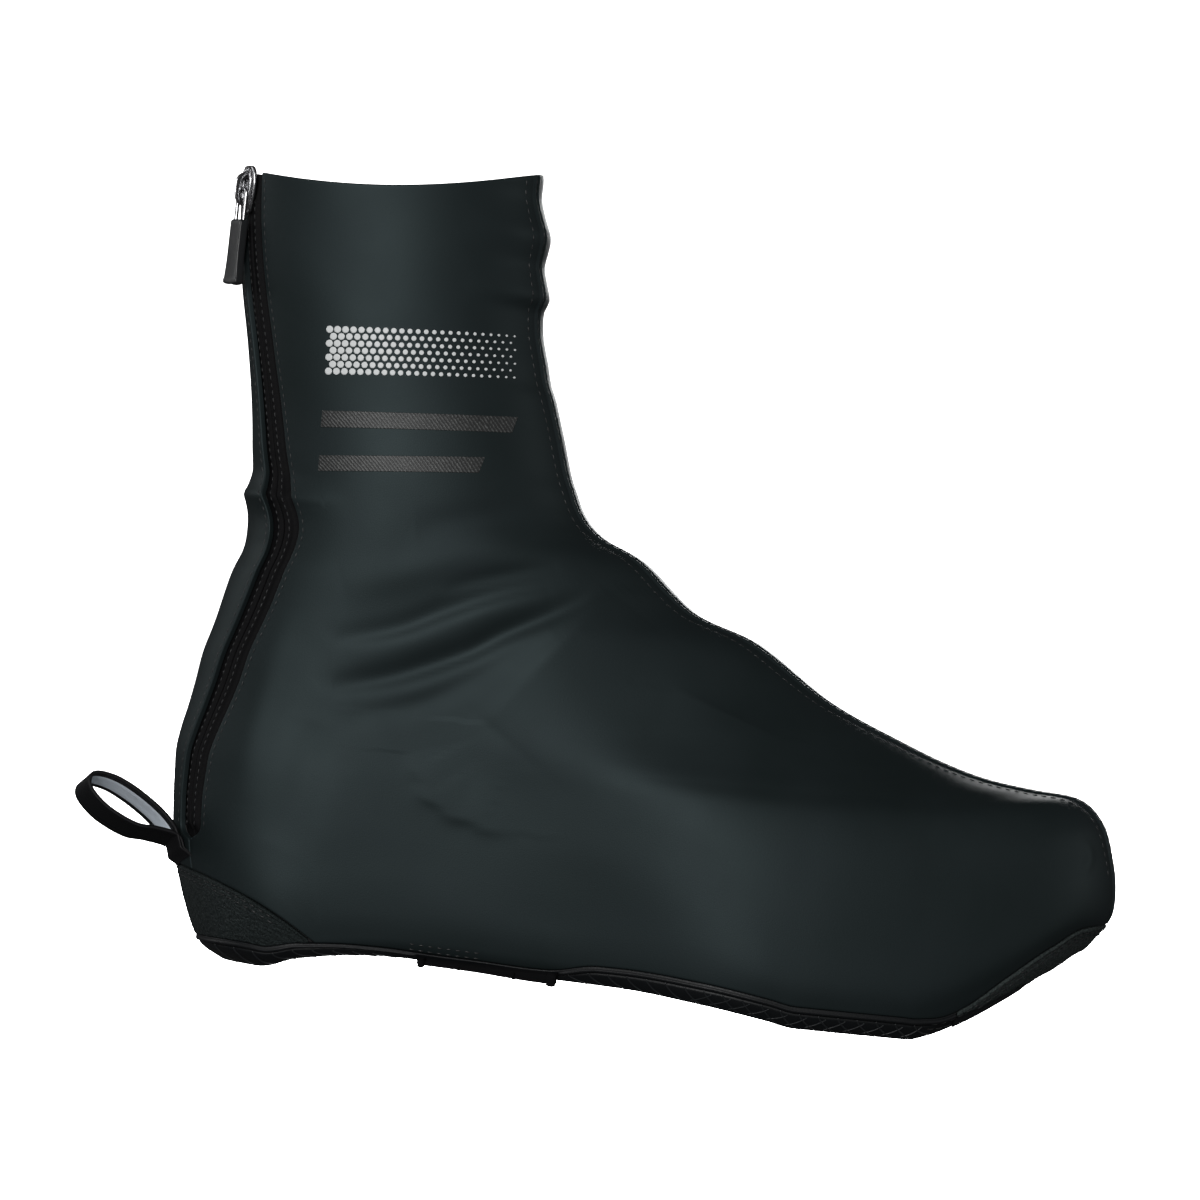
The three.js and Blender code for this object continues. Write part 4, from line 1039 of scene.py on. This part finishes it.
def stitch_row(name, seam, length=2.2, pitch=3.0, radius=0.2):
    """Short rounded stitches along a line of points with normals, each lying on the cloth."""
    line, normals = seam
    gone = lengths_along(line)
    count = int(gone[-1] / pitch)
    sides = 8
    points, faces = [], []
    for k in range(count):
        middle = (k + 0.5) * gone[-1] / count
        first = len(points)
        for share, thick in STITCH_SHAPE:
            at = middle + share * length
            p = point_at(at, gone, line)
            n = point_at(at, gone, normals)
            n /= np.linalg.norm(n)
            step = point_at(at + 0.3, gone, line) - point_at(at - 0.3, gone, line)
            ahead = step / max(np.linalg.norm(step), 1e-9)
            beside = np.cross(n, ahead)
            dip = radius * 1.3 * (2 * share) ** 4
            for j in range(sides):
                a = 2 * math.pi * j / sides
                high = radius * thick * math.sin(a) * 0.8 + radius * 0.55 - STITCH_SINK - dip
                points.append(p + n * high + beside * radius * thick * math.cos(a))
        for i in range(len(STITCH_SHAPE) - 1):
            for j in range(sides):
                a, b = first + i * sides + j, first + i * sides + (j + 1) % sides
                faces.append((a, b, b + sides, a + sides))
        faces.append(tuple(first + j for j in range(sides))[::-1])
        last = first + (len(STITCH_SHAPE) - 1) * sides
        faces.append(tuple(last + j for j in range(sides)))
    mesh_piece(name, np.array(points), faces, THREAD)


def make_zip_stitches():
    number = np.linspace(ZIP_START + 0.15, COLLAR - 0.1, 400)
    for side, tag in ((1, "inner"), (-1, "outer")):
        seam = surface_line(number, zip_turn(number, 2.2 * side), -0.62)
        stitch_row(f"zip_stitches_{tag}", seam, 1.6, 2.3, 0.17)
        seam = surface_line(number, zip_turn(number, 7.6 * side))
        stitch_row(f"zip_edge_stitches_{tag}", seam, 1.9, 2.7, 0.16)


# ---------------------------------------------------------------- print on the shaft

# Corners of each reflective bar as (x, z): top back, top front, low back, low front
BARS = [
    ((35.3, 173.9), (95.9, 178.7), (35.5, 168.6), (94.6, 173.5)),
    ((35.9, 160.0), (87.3, 165.1), (36.1, 155.0), (85.9, 159.9)),
]
DOT_FIELD = (36.0, 186.2, 58.0, 13.4, 4.6)  # x, z, length, height, slope in degrees
DOT_PITCH = 2.5
PRINT_LIFT = 0.14
PRINT_ROOT = -0.1


def on_side(x, z):
    """Section number and turn of the outer side's points that are seen at x and z."""
    x, z = np.broadcast_arrays(np.asarray(x, float), np.asarray(z, float))

    def above(number):
        return form(number, plane_turn(number, -1, x))[..., 2] > z
    number = halve(np.full(x.shape, 0.6), np.full(x.shape, float(COLLAR)), above)
    return number, plane_turn(number, -1, x)


def make_bars():
    rows, columns = 16, 130
    for index, corners in enumerate(BARS):
        c = np.array(corners)
        up = np.concatenate([[0, 0.01], np.linspace(0.05, 0.95, rows - 4), [0.99, 1]])
        along = np.concatenate([[0, 0.002], np.linspace(0.01, 0.99, columns - 4), [0.998, 1]])
        u, v = np.meshgrid(along, up)
        u, v = u[..., None], v[..., None]
        xz = (c[2] * (1 - u) + c[3] * u) * (1 - v) + (c[0] * (1 - u) + c[1] * u) * v
        edge = (np.minimum(u, 1 - u) <= 0) | (np.minimum(v, 1 - v) <= 0)
        lift = np.where(edge[..., 0], PRINT_ROOT, PRINT_LIFT)
        number, turn = on_side(xz[..., 0], xz[..., 1])
        points = lifted(number, turn, lift)
        length = np.linalg.norm(c[1] - c[0])
        uv = np.concatenate([u * length / 10, v * 0.52], -1).reshape(-1, 2)
        piece = mesh_piece(f"bar_{index + 1}", points, grid_faces(*points.shape[:2]), BAR, uv=uv)
        outward_check(piece, (65, 0, 165))


def make_dots():
    """Halftone field: rows of round dots that shrink toward the front."""
    x0, z0, length, height, slope = DOT_FIELD
    tall = DOT_PITCH * 0.866
    rim = 20
    centres, sizes = [], []
    for row in range(int(height / tall) + 1):
        for column in range(int(length / DOT_PITCH) + 1):
            s = (column + 0.5 * (row % 2)) * DOT_PITCH
            if s > length:
                continue
            centres.append((s, row * tall))
            sizes.append(1.12 - 0.80 * (s / length) ** 1.1)
    centres, sizes = np.array(centres), np.array(sizes)
    rings = [(0.0, PRINT_LIFT), (0.6, PRINT_LIFT), (0.94, PRINT_LIFT), (1.0, PRINT_LIFT * 0.5),
             (1.0, PRINT_ROOT)]
    a = np.linspace(0, 2 * math.pi, rim, endpoint=False)
    plane, lift = [], []
    for share, high in rings:
        count = 1 if share == 0 else rim
        ring = np.stack([np.cos(a), np.sin(a)], -1)[:count] * share
        plane.append(centres[:, None] + ring[None] * sizes[:, None, None])
        lift.append(np.full((len(centres), count), high))
    plane, lift = np.concatenate(plane, 1), np.concatenate(lift, 1)
    turned = math.radians(slope)
    x = x0 + plane[..., 0] * math.cos(turned) - plane[..., 1] * math.sin(turned)
    z = z0 + plane[..., 0] * math.sin(turned) + plane[..., 1] * math.cos(turned)
    number, turn = on_side(x, z)
    points = lifted(number, turn, lift)
    faces = []
    for k in range(len(centres)):
        first = k * points.shape[1]
        faces += [(first, first + 1 + j, first + 1 + (j + 1) % rim) for j in range(rim)]
        for ring in range(len(rings) - 2):
            at = first + 1 + ring * rim
            for j in range(rim):
                after = (j + 1) % rim
                faces.append((at + j, at + rim + j, at + rim + after, at + after))
    piece = mesh_piece("dot_field", points, faces, DOT)
    outward_check(piece, (65, 0, 190))


def make_seam_stitches():
    """Two rows on the front seam's band and a topstitch beside it."""
    number = np.linspace(4.4, COLLAR - 0.05, 700)
    middle = seam_turn(number)
    stretch = stretch_at(number, middle)
    for side, tag in ((1, "outer"), (-1, "inner")):
        seam = surface_line(number, middle + side * 1.0 / stretch, 0.45)
        stitch_row(f"seam_stitches_{tag}", seam, 2.0, 2.8, 0.17)
    stitch_row("seam_topstitch", surface_line(number, middle + 6.0 / stretch), 2.2, 2.9, 0.2)


def edge_line(height, below, turns):
    """Line just under a patch's border, lifted onto its lip, with its normals."""
    number = solve_up(turns, lambda x: height(x) - below, 0, 9)
    normals = outward(number, turns)
    return form(number, turns) + normals * 0.28, normals


def make_patch_stitches():
    """Double rows of stitches along the borders of the toe and heel patches."""
    for tag, below in (("a", 1.5), ("b", 3.0)):
        reach = low_turn(TOE_PATCH_START + 3, 0.97)
        seam = edge_line(seam_height, below, np.linspace(reach, 2 * math.pi - reach, 400))
        stitch_row(f"toe_stitches_{tag}", seam, 2.2, 3.1, 0.19)
        reach = low_turn(HEEL_PATCH_LENGTH - 9, 0.95)
        seam = edge_line(heel_edge, below, np.linspace(-reach, reach, 400))
        stitch_row(f"heel_stitches_{tag}", seam, 2.2, 3.1, 0.19)


# ---------------------------------------------------------------- strap, loop

def wrap_band(name, x, top, lift, thick, material, node=None, swell=None):
    """Band round the underside: from a height on the outer side to the same on the inner side."""
    ring = []
    rise = np.zeros(len(x)) if swell is None else swell
    for at, height, more in zip(x, top, rise):
        out = lift + thick + more
        start = plane_turn(np.array([0.5]), -1, at)
        highest = solve_up(start, lambda v: np.full(np.shape(v), height), 0, 5)[0]
        n_side = np.linspace(highest, 0, 18)
        sides = []
        for side in (-1, 1):
            turn = plane_turn(n_side, side, np.full(n_side.shape, at))
            skin = form(n_side, turn) + outward(n_side, turn) * out
            skin[:, 0] = at
            sides.append(skin)
        outer, inner = sides
        low = float(underside(at)) - out
        y = np.linspace(outer[-1, 1], inner[-1, 1], 42)[1:-1]
        under = np.column_stack([np.full(40, at), y, np.full(40, low)])
        outer[-1, 2] = inner[-1, 2] = low + 0.3
        ring.append(np.vstack([outer, under, inner[::-1]]))
    face = np.array(ring)
    ahead = np.gradient(face, axis=1)
    ahead /= np.maximum(np.linalg.norm(ahead, axis=-1, keepdims=True), 1e-9)
    inwards = np.cross(ahead, np.array([1.0, 0, 0]))
    inwards *= np.sign(((face.mean(1, keepdims=True) + [0, 0, 30] - face) * inwards).sum(-1, keepdims=True))
    edge, bevel = (1.0, 0.55, 0.2), np.array([0.35, 0, 0])
    rows = [face[0] + inwards[0] * thick * deep for deep in edge] + list(face)
    rows += [face[-1] + inwards[-1] * thick * deep for deep in edge[::-1]]
    rows[3] = rows[3] + bevel
    rows[-4] = rows[-4] - bevel
    rows += [face[k] + inwards[k] * thick for k in range(len(face) - 1, -1, -1)]
    points = np.array(rows)
    columns = points.shape[1]
    faces = grid_faces(points.shape[0], columns).tolist()
    last = (points.shape[0] - 1) * columns
    for j in range(columns - 1):
        faces.append((last + j, last + j + 1, j + 1, j))
    piece = mesh_piece(name, points, faces, material, node=node)
    recalculate(piece)


def make_strap():
    x = np.linspace(STRAP[0], STRAP[1], 40)
    top = np.full(x.shape, STRAP[2])
    wrap_band("strap_band", x, top, 0.3, 1.2, STRAP_CLOTH, "arch_strap")
    s = np.linspace(0, 1, 13)
    swell = np.sqrt(np.clip(1 - (2 * s - 1) ** 2, 0, 1))
    ends = ((STRAP[0] - 0.2, 2.6, 9.2), (STRAP[1] - 3.0, 3.6, 9.0))
    for index, (at, wide, height) in enumerate(ends):
        wrap_band(f"strap_end_{index + 1}", at + wide * s, np.full(s.shape, height), 0.4, 0.9, STRAP_CLOTH,
                  swell=swell)
    for index, share in enumerate((0.30, 0.70)):
        x = STRAP[0] + (STRAP[1] - STRAP[0]) * share + np.linspace(-0.35, 0.35, 5)
        top = np.full(x.shape, STRAP[2] - 0.3)
        wrap_band(f"strap_rib_{index + 1}", x, top, 1.45, 0.25, STRAP_CLOTH)


def make_tongue():
    """Tip of the sole's rubber that runs on under the toe patch."""
    x = np.linspace(TOE_PATCH_START - 0.6, 272.5, 36)
    share = (x - 248.3) / (272.5 - 248.3)
    top = np.maximum(7.7 + 12.8 * share, underside(x) + 0.15)
    wrap_band("sole_tongue", x, top, 0.12, 0.5, SOLE)


def sole_place(x, share, side):
    """Points of the sole's side between its lower edge and its seam, with their normals."""
    x, share = np.asarray(x, float), np.asarray(share, float)
    turn = plane_turn(np.full(x.shape, 2.0), side, x)
    top = solve_up(turn, lambda v: seam_height(v) - 1.6, 0, 6)
    number = top * share
    turn = plane_turn(number, side, x)
    return form(number, turn), outward(number, turn)


def make_sole_lines():
    """Thin raised lines printed on the sole's side: leaning arcs, and crossed scales at the ball."""
    points, faces = [], []
    sides = 6
    t = np.linspace(0, 1, 14)
    for side in (-1, 1):
        lines = []
        for x0 in np.arange(20, STRAP[0] - 8, 6.2):
            lines.append((x0 + 7.5 * t ** 1.7, 0.94 - 0.9 * t))
        for x0 in np.arange(STRAP[1] + 4, TOE_PATCH_START - 9, 6.0):
            lines.append((x0 + 6.0 * t ** 1.6, 0.94 - 0.9 * t))
        for x0 in np.arange(168, TOE_PATCH_START - 12, 6.0):
            lines.append((x0 + 7.0 - 6.4 * t ** 1.4, 0.80 - 0.6 * t))
        for x, share in lines:
            line, normal = sole_place(x, share, side)
            first = sum(len(p) for p in points)
            rings = sweep(line + normal * 0.02, 0.2, sides, 1.2, normal.mean(0))
            points.append(rings.reshape(-1, 3))
            faces += (grid_faces(len(t), sides, closed=True) + first).tolist()
            faces.append([first + j for j in range(sides)])
            faces.append([first + (len(t) - 1) * sides + j for j in range(sides)][::-1])
    piece = mesh_piece("sole_lines", np.concatenate(points), faces, PRINT)
    recalculate(piece)


def make_arch_stitches():
    """Two short rows above the seam where the strap is sewn in."""
    for tag, above in (("a", 0.9), ("b", 2.6)):
        x = np.linspace(80, 103, 60)
        seam = surface_line(*on_side(x, seam_height(x) + above))
        stitch_row(f"arch_stitches_{tag}", seam, 1.9, 2.7, 0.2)


def loop_frame():
    number = 4.6
    sec = section_at(number)
    u = sec[5] * (1 - math.sqrt(1 - (LOOP_OFFSET / sec[7]) ** 2))
    turn = -math.acos(1 - 2 * u)
    seat = form(number, turn)
    out = outward(number, turn)
    out[2] = 0
    out /= np.linalg.norm(out)
    aside = np.array([-out[1], out[0], 0.0])
    roll = Matrix.Rotation(math.radians(LOOP_ROLL), 3, Vector(out))
    up = np.array(roll @ Vector((0, 0, 1)))
    across = np.array(roll @ Vector(aside))
    seat[2] = LOOP_ROOT
    return seat, out, up, across


def heel_surface(y, z):
    """Place of the heel's back surface at points across and up."""
    number = solve_up(np.zeros(y.shape), lambda x: z, 0, 16)
    sec = section_at(number)
    u = sec[5] * (1 - np.sqrt(np.clip(1 - (y / sec[7]) ** 2, 0, 1)))
    return sec[0] + (sec[2] - sec[0]) * u


def loop_points(path, beside, gone, wide, thick):
    """Points of the ribbon; near its sewn ends it lies on the heel and dips into the seam."""
    seat, out, up, across = loop_frame()
    flat = path + beside * thick
    points = seat + out * flat[:, :1] + up * flat[:, 1:] + across * wide
    to_end = np.minimum(gone, gone[-1] - gone)
    sewn = 1 - smoothstep(to_end, 5.0, 12.0)
    sunk = 2.6 * (1 - smoothstep(to_end, 0.0, 2.6))
    points_on = points.copy()
    points_on[:, 0] = heel_surface(points[:, 1], points[:, 2]) - (flat[:, 0] * 0.8 - sunk)
    return points * (1 - sewn[:, None]) + points_on * sewn[:, None]


def make_loop():
    start = 0.3 + 0.9 + LOOP_THICKNESS / 2
    reach = LOOP_REACH - start
    flat = [(start + far * reach, high * LOOP_RISE) for far, high in LOOP]
    stations = 170
    path = smooth_path(flat, stations)
    gone = lengths_along(path)
    ahead = np.gradient(path, axis=0)
    ahead /= np.linalg.norm(ahead, axis=1, keepdims=True)
    beside = np.stack([-ahead[:, 1], ahead[:, 0]], -1)
    w, t = LOOP_WIDTH / 2, LOOP_THICKNESS / 2
    flanks = np.linspace(-w + 0.3, w - 0.3, 15)
    weave = 0.07 * np.cos(np.arange(15) * math.pi)
    profile = [(a, -t - b) for a, b in zip(flanks, weave)]
    profile += [(w - 0.08, -t * 0.6), (w, 0), (w - 0.08, t * 0.6)]
    profile += [(a, t + b) for a, b in zip(flanks[::-1], weave)]
    profile += [(-w + 0.08, t * 0.6), (-w, 0), (-w + 0.08, -t * 0.6)]
    points = np.stack([loop_points(path, beside, gone, wide, thick) for wide, thick in profile], 1)
    u = np.repeat(gone[:, None] / 10, len(profile), 1)
    uv = np.stack([u, np.repeat(np.array([[a for a, _ in profile]]) / 10, stations, 0)], -1).reshape(-1, 2)
    faces = grid_faces(stations, len(profile), closed=True).tolist()
    piece = mesh_piece("loop_ribbon", points, faces, WEBBING, node="heel_loop",
                       uv=uv)
    recalculate(piece)
    keep = slice(16, stations - 14)
    across = np.linspace(-4.4, 4.4, 9)
    edge = np.array([-0.12] + [0.16] * 7 + [-0.12])
    film = np.stack([loop_points(path, beside, gone, wide, t + 0.05 + high)
                     for wide, high in zip(across, edge)], 1)[keep]
    piece = mesh_piece("loop_film", film, grid_faces(film.shape[0], 9), SILVER)
    outward_check(piece, film[:, 4].mean(0), toward=True)


# ---------------------------------------------------------------- slider and pull

SLIDER_DROP = 6.8


def slider_axes():
    """Seat, across, up and out of the slider, and the level direction that its pull faces."""
    number = COLLAR - SLIDER_DROP / ((SHAFT[-1][1] - SHAFT[-2][1]) * SHAFT_HEIGHT)
    turn = float(zip_turn(np.array(number)))
    out = outward(number, turn)
    seat = form(number, turn) + out * (TAPE_TOP + 1.8 + 0.3)
    facing = np.array([out[0], out[1], 0.0]) / math.hypot(out[0], out[1])
    across = np.array([-facing[1], facing[0], 0.0])
    return seat, across, np.cross(out, across), out, facing


def closed_loft(name, rings, material, body, node=None):
    """A closed skin through rings of points, its ends filled."""
    rings = np.array(rings)
    count, around = rings.shape[:2]
    faces = grid_faces(count, around, closed=True).tolist()
    faces.append(list(range(around))[::-1])
    faces.append([(count - 1) * around + j for j in range(around)])
    piece = mesh_piece(name, rings, faces, material, body=body, node=node)
    recalculate(piece)
    return piece


def sweep(line, radius, sides=14, flat=1.0, up=None, closed=False):
    """Rings of a round or flattened section along a line."""
    line = np.asarray(line, float)
    ahead = np.roll(line, -1, 0) - np.roll(line, 1, 0) if closed else np.gradient(line, axis=0)
    ahead /= np.linalg.norm(ahead, axis=1, keepdims=True)
    beside = np.cross(ahead, np.asarray(up, float))
    beside /= np.linalg.norm(beside, axis=1, keepdims=True)
    top = np.cross(beside, ahead)
    a = np.linspace(0, 2 * math.pi, sides, endpoint=False)
    c, d = np.cos(a), np.sin(a)
    c = blunt(c, 0.8)
    return (line[:, None] + beside[:, None] * c[None, :, None] * radius * flat
            + top[:, None] * d[None, :, None] * radius)


def make_slider():
    seat, across, up, out, _ = slider_axes()
    half, long = 4.3, 7.5
    t = np.linspace(0, 2 * math.pi, 96, endpoint=False)
    v = np.sin(t) * long
    share = (v + long) / (2 * long)
    width = half * (0.74 + 0.30 * np.sin(np.clip(share * 1.35, 0, 1) * math.pi / 2) ** 2)
    u = blunt(np.cos(t), 0.45) * width
    rings = []
    for inset, high in ((0.45, 0.0), (0.12, 0.12), (0.0, 0.4), (0.0, 0.9), (0.14, 1.18), (0.45, 1.3),
                        (0.75, 1.22), (0.95, 1.0), (1.3, 0.95)):
        k = 1 - inset / half
        kv = 1 - inset / long
        rings.append(seat + across * (u * k)[:, None] + up * (v * kv)[:, None] + out * high)
    closed_loft("slider_body", rings, METAL, "shoe", node="zip_slider")
    for side, tag in ((-1, "left"), (1, "right")):
        line = np.array([(side * 1.9, -6.2, 1.0), (side * 2.2, -3.5, 1.5), (side * 2.6, 0.0, 1.65),
                         (side * 2.6, 3.5, 1.5), (side * 1.6, 6.4, 1.0)])
        line = smooth_path(line, 30)
        world = seat + across * line[:, :1] + up * line[:, 1:2] + out * line[:, 2:]
        closed_loft(f"slider_rib_{tag}", sweep(world, 0.55, up=out), METAL, "shoe")
    arch = smooth_path([(-4.3, 0.7), (-4.0, 3.0), (-2.6, 4.3), (0, 4.55), (2.6, 4.3), (4.0, 3.0),
                        (4.3, 0.7)], 48)
    world = seat + up * arch[:, :1] + out * arch[:, 1:]
    closed_loft("slider_bridge", sweep(world, 0.46, 16, 2.6, across), METAL, "shoe")


def make_pull():
    seat, across, _, out, facing = slider_axes()
    hinge = seat + out * (1.3 + (3.6 - 0.9) * 0.52)
    above = np.array([0.0, 0.0, 1.0])
    wide, long, bend, sides = 2.6, 12.0, 1.3, 14
    line = np.array(round_box(-wide, wide, -long, 0.0, bend, 8))
    line = np.concatenate([np.linspace(line[k], line[(k + 1) % len(line)], 4, endpoint=False)
                           for k in range(len(line))])
    world = hinge + across * line[:, :1] + above * line[:, 1:]
    rings = sweep(world, 0.65, sides, 1.0, facing, closed=True)
    last = (len(rings) - 1) * sides
    joint = [[last + j, last + (j + 1) % sides, (j + 1) % sides, j] for j in range(sides)]
    faces = np.concatenate([grid_faces(len(rings), sides, closed=True), joint])
    piece = mesh_piece("pull_wire", rings, faces, METAL, body="pull", node="pull_link")
    recalculate(piece)
    top = 2.4 - long
    rings = []
    a = np.linspace(0, 2 * math.pi, 48, endpoint=False)
    for down, half, thick in ((0.0, 3.0, 1.05), (0.25, 3.4, 1.35), (0.8, 3.6, 1.5), (3.0, 3.6, 1.5),
                               (8.0, 3.6, 1.5), (11.0, 3.62, 1.5), (14.0, 3.75, 1.5), (16.5, 4.0, 1.5),
                               (18.3, 4.25, 1.52), (18.7, 4.45, 1.62), (19.4, 4.5, 1.64), (19.9, 4.4, 1.55),
                               (20.1, 4.1, 1.25)):
        u, v = blunt(np.cos(a), 0.22) * half, blunt(np.sin(a), 0.28) * thick
        sag = 0.5 * (1 - (u / half) ** 2) * (down / 20)
        rings.append(hinge + across * u[:, None] + facing * v[:, None] + above * (top - down - sag)[:, None])
    dense = []
    for k in range(len(rings) - 1):
        for step in range(3):
            dense.append(rings[k] + (rings[k + 1] - rings[k]) * step / 3)
    dense.append(rings[-1])
    closed_loft("pull_grip", dense, RUBBER, "pull", node="pull_tab")


# ---------------------------------------------------------------- stage

def make_stage():
    data = bpy.data.meshes.new("floor")
    reach, bend = 4.0, 1.2
    profile = [(0.5, 0.0), (1.5, 0.0), (2.5, 0.0), (reach, 0.0)]
    for k in range(1, 17):
        a = math.pi / 2 * k / 16
        profile.append((reach + bend * math.sin(a), bend * (1 - math.cos(a))))
    profile.append((reach + bend, 6.0))
    around = 72
    turns = np.linspace(0, 2 * math.pi, around, endpoint=False)
    points = [(0.0, 0.0, -0.0002)]
    for radius, z in profile:
        points += [(radius * math.cos(a), radius * math.sin(a), z - 0.0002) for a in turns]
    faces = [(0, 1 + j, 1 + (j + 1) % around) for j in range(around)]
    faces += (grid_faces(len(profile), around, closed=True)[:, ::-1] + 1).tolist()
    data.from_pydata(points, [], faces)
    data.polygons.foreach_set("use_smooth", [True] * len(faces))
    floor = bpy.data.objects.new("floor", data)
    bpy.context.scene.collection.objects.link(floor)
    material, nodes, links, shader = new_material("paper", (0.92, 0.92, 0.92), 0.9)
    noise = link_noise(nodes, links, 40, 2)
    vary_colour(nodes, links, noise.outputs["Fac"], (0.90, 0.90, 0.90), (0.93, 0.93, 0.93),
                shader.inputs["Base Color"])
    data.materials.append(material)
    floor.visible_diffuse = False
    floor.visible_glossy = False


def add_light(name, kind, place, power, only=None):
    """A lamp that the camera doesn't see. With a group given, it lights that group alone."""
    light = bpy.data.lights.new(name, kind)
    light.energy = power
    lamp = bpy.data.objects.new(name, light)
    if only:
        lamp.light_linking.receiver_collection = only
        lamp.light_linking.blocker_collection = only
    lamp.visible_camera = False
    lamp.location = place
    bpy.context.scene.collection.objects.link(lamp)
    return lamp


def area_light(name, place, target, size, power, only=None):
    lamp = add_light(name, "AREA", place, power, only)
    lamp.data.shape = "RECTANGLE"
    lamp.data.size, lamp.data.size_y = size
    toward = Vector(target) - Vector(place)
    lamp.rotation_euler = toward.to_track_quat("-Z", "Y").to_euler()


def light_group(name, pieces):
    group = bpy.data.collections.new(name)
    for piece in pieces:
        group.objects.link(bpy.data.objects[piece])
    return group


def make_lights():
    world = bpy.data.worlds.new("studio")
    bpy.context.scene.world = world
    world.use_nodes = True
    background = world.node_tree.nodes["Background"]
    background.inputs["Color"].default_value = (0.95, 0.97, 1.0, 1)
    background.inputs["Strength"].default_value = 0.05
    paper_only = light_group("paper_only", ["floor"])
    area_light("key", (-0.45, -1.9, 0.62), (0.0, 0, 0.12), (0.8, 0.8), 26)
    add_light("paper", "POINT", (0, 0, 3.5), 3600, paper_only)
    area_light("behind", (0.5, 2.4, 0.8), (0, 0, 0.1), (1.0, 0.8), 42)
    area_light("heel_side", (-2.2, 0.5, 0.7), (0, 0, 0.12), (0.7, 0.7), 7)
    area_light("toe_side", (2.3, -0.2, 0.7), (0, 0, 0.08), (0.7, 0.7), 6)
    metal_only = light_group("metal_only", [
        "slider_body", "slider_rib_left", "slider_rib_right", "slider_bridge", "pull_wire", "pull_grip"])
    area_light("metal_left", (-1.2, -0.9, 0.5), (-0.13, 0, 0.24), (0.3, 1.2), 3.0, only=metal_only)
    area_light("metal_front", (-0.35, -1.4, 0.3), (-0.13, 0, 0.24), (0.1, 0.9), 1.2, only=metal_only)
    bpy.context.scene.view_settings.view_transform = "Standard"


CAMERA_DISTANCE = 2.0
PICTURE_WIDTH = 0.378  # metres across the frame at the shoe
PICTURE_MIDDLE = (127.55, 124.9)  # x and z of the frame's middle, millimetres of the shoe
ROLL = 6.3256


def make_camera():
    data = bpy.data.cameras.new("camera")
    data.sensor_width = 36
    data.lens = 36 * CAMERA_DISTANCE / PICTURE_WIDTH
    camera = bpy.data.objects.new("camera", data)
    middle = metres([[PICTURE_MIDDLE[0], 0, PICTURE_MIDDLE[1]]])[0]
    camera.location = (middle[0], middle[1] - CAMERA_DISTANCE, middle[2])
    level = Matrix.Rotation(math.radians(90), 4, "X")
    rolled = Matrix.Rotation(math.radians(-ROLL), 4, "Y")
    camera.matrix_world = Matrix.Translation(camera.location) @ rolled @ level
    bpy.context.scene.collection.objects.link(camera)
    bpy.context.scene.camera = camera


make_camera()
make_stage()
make_upper()
make_sole()
make_underside()
make_toe_patch()
make_heel_patch()
make_lining()
make_zip_tape("zip_tape_in", 1, "zip_half_inner")
make_zip_tape("zip_tape_out", -1, "zip_half_outer")
make_zip_stitches()
make_seam_stitches()
make_patch_stitches()
make_bars()
make_dots()
make_strap()
make_tongue()
make_sole_lines()
make_arch_stitches()
make_loop()
make_slider()
make_pull()
make_lights()
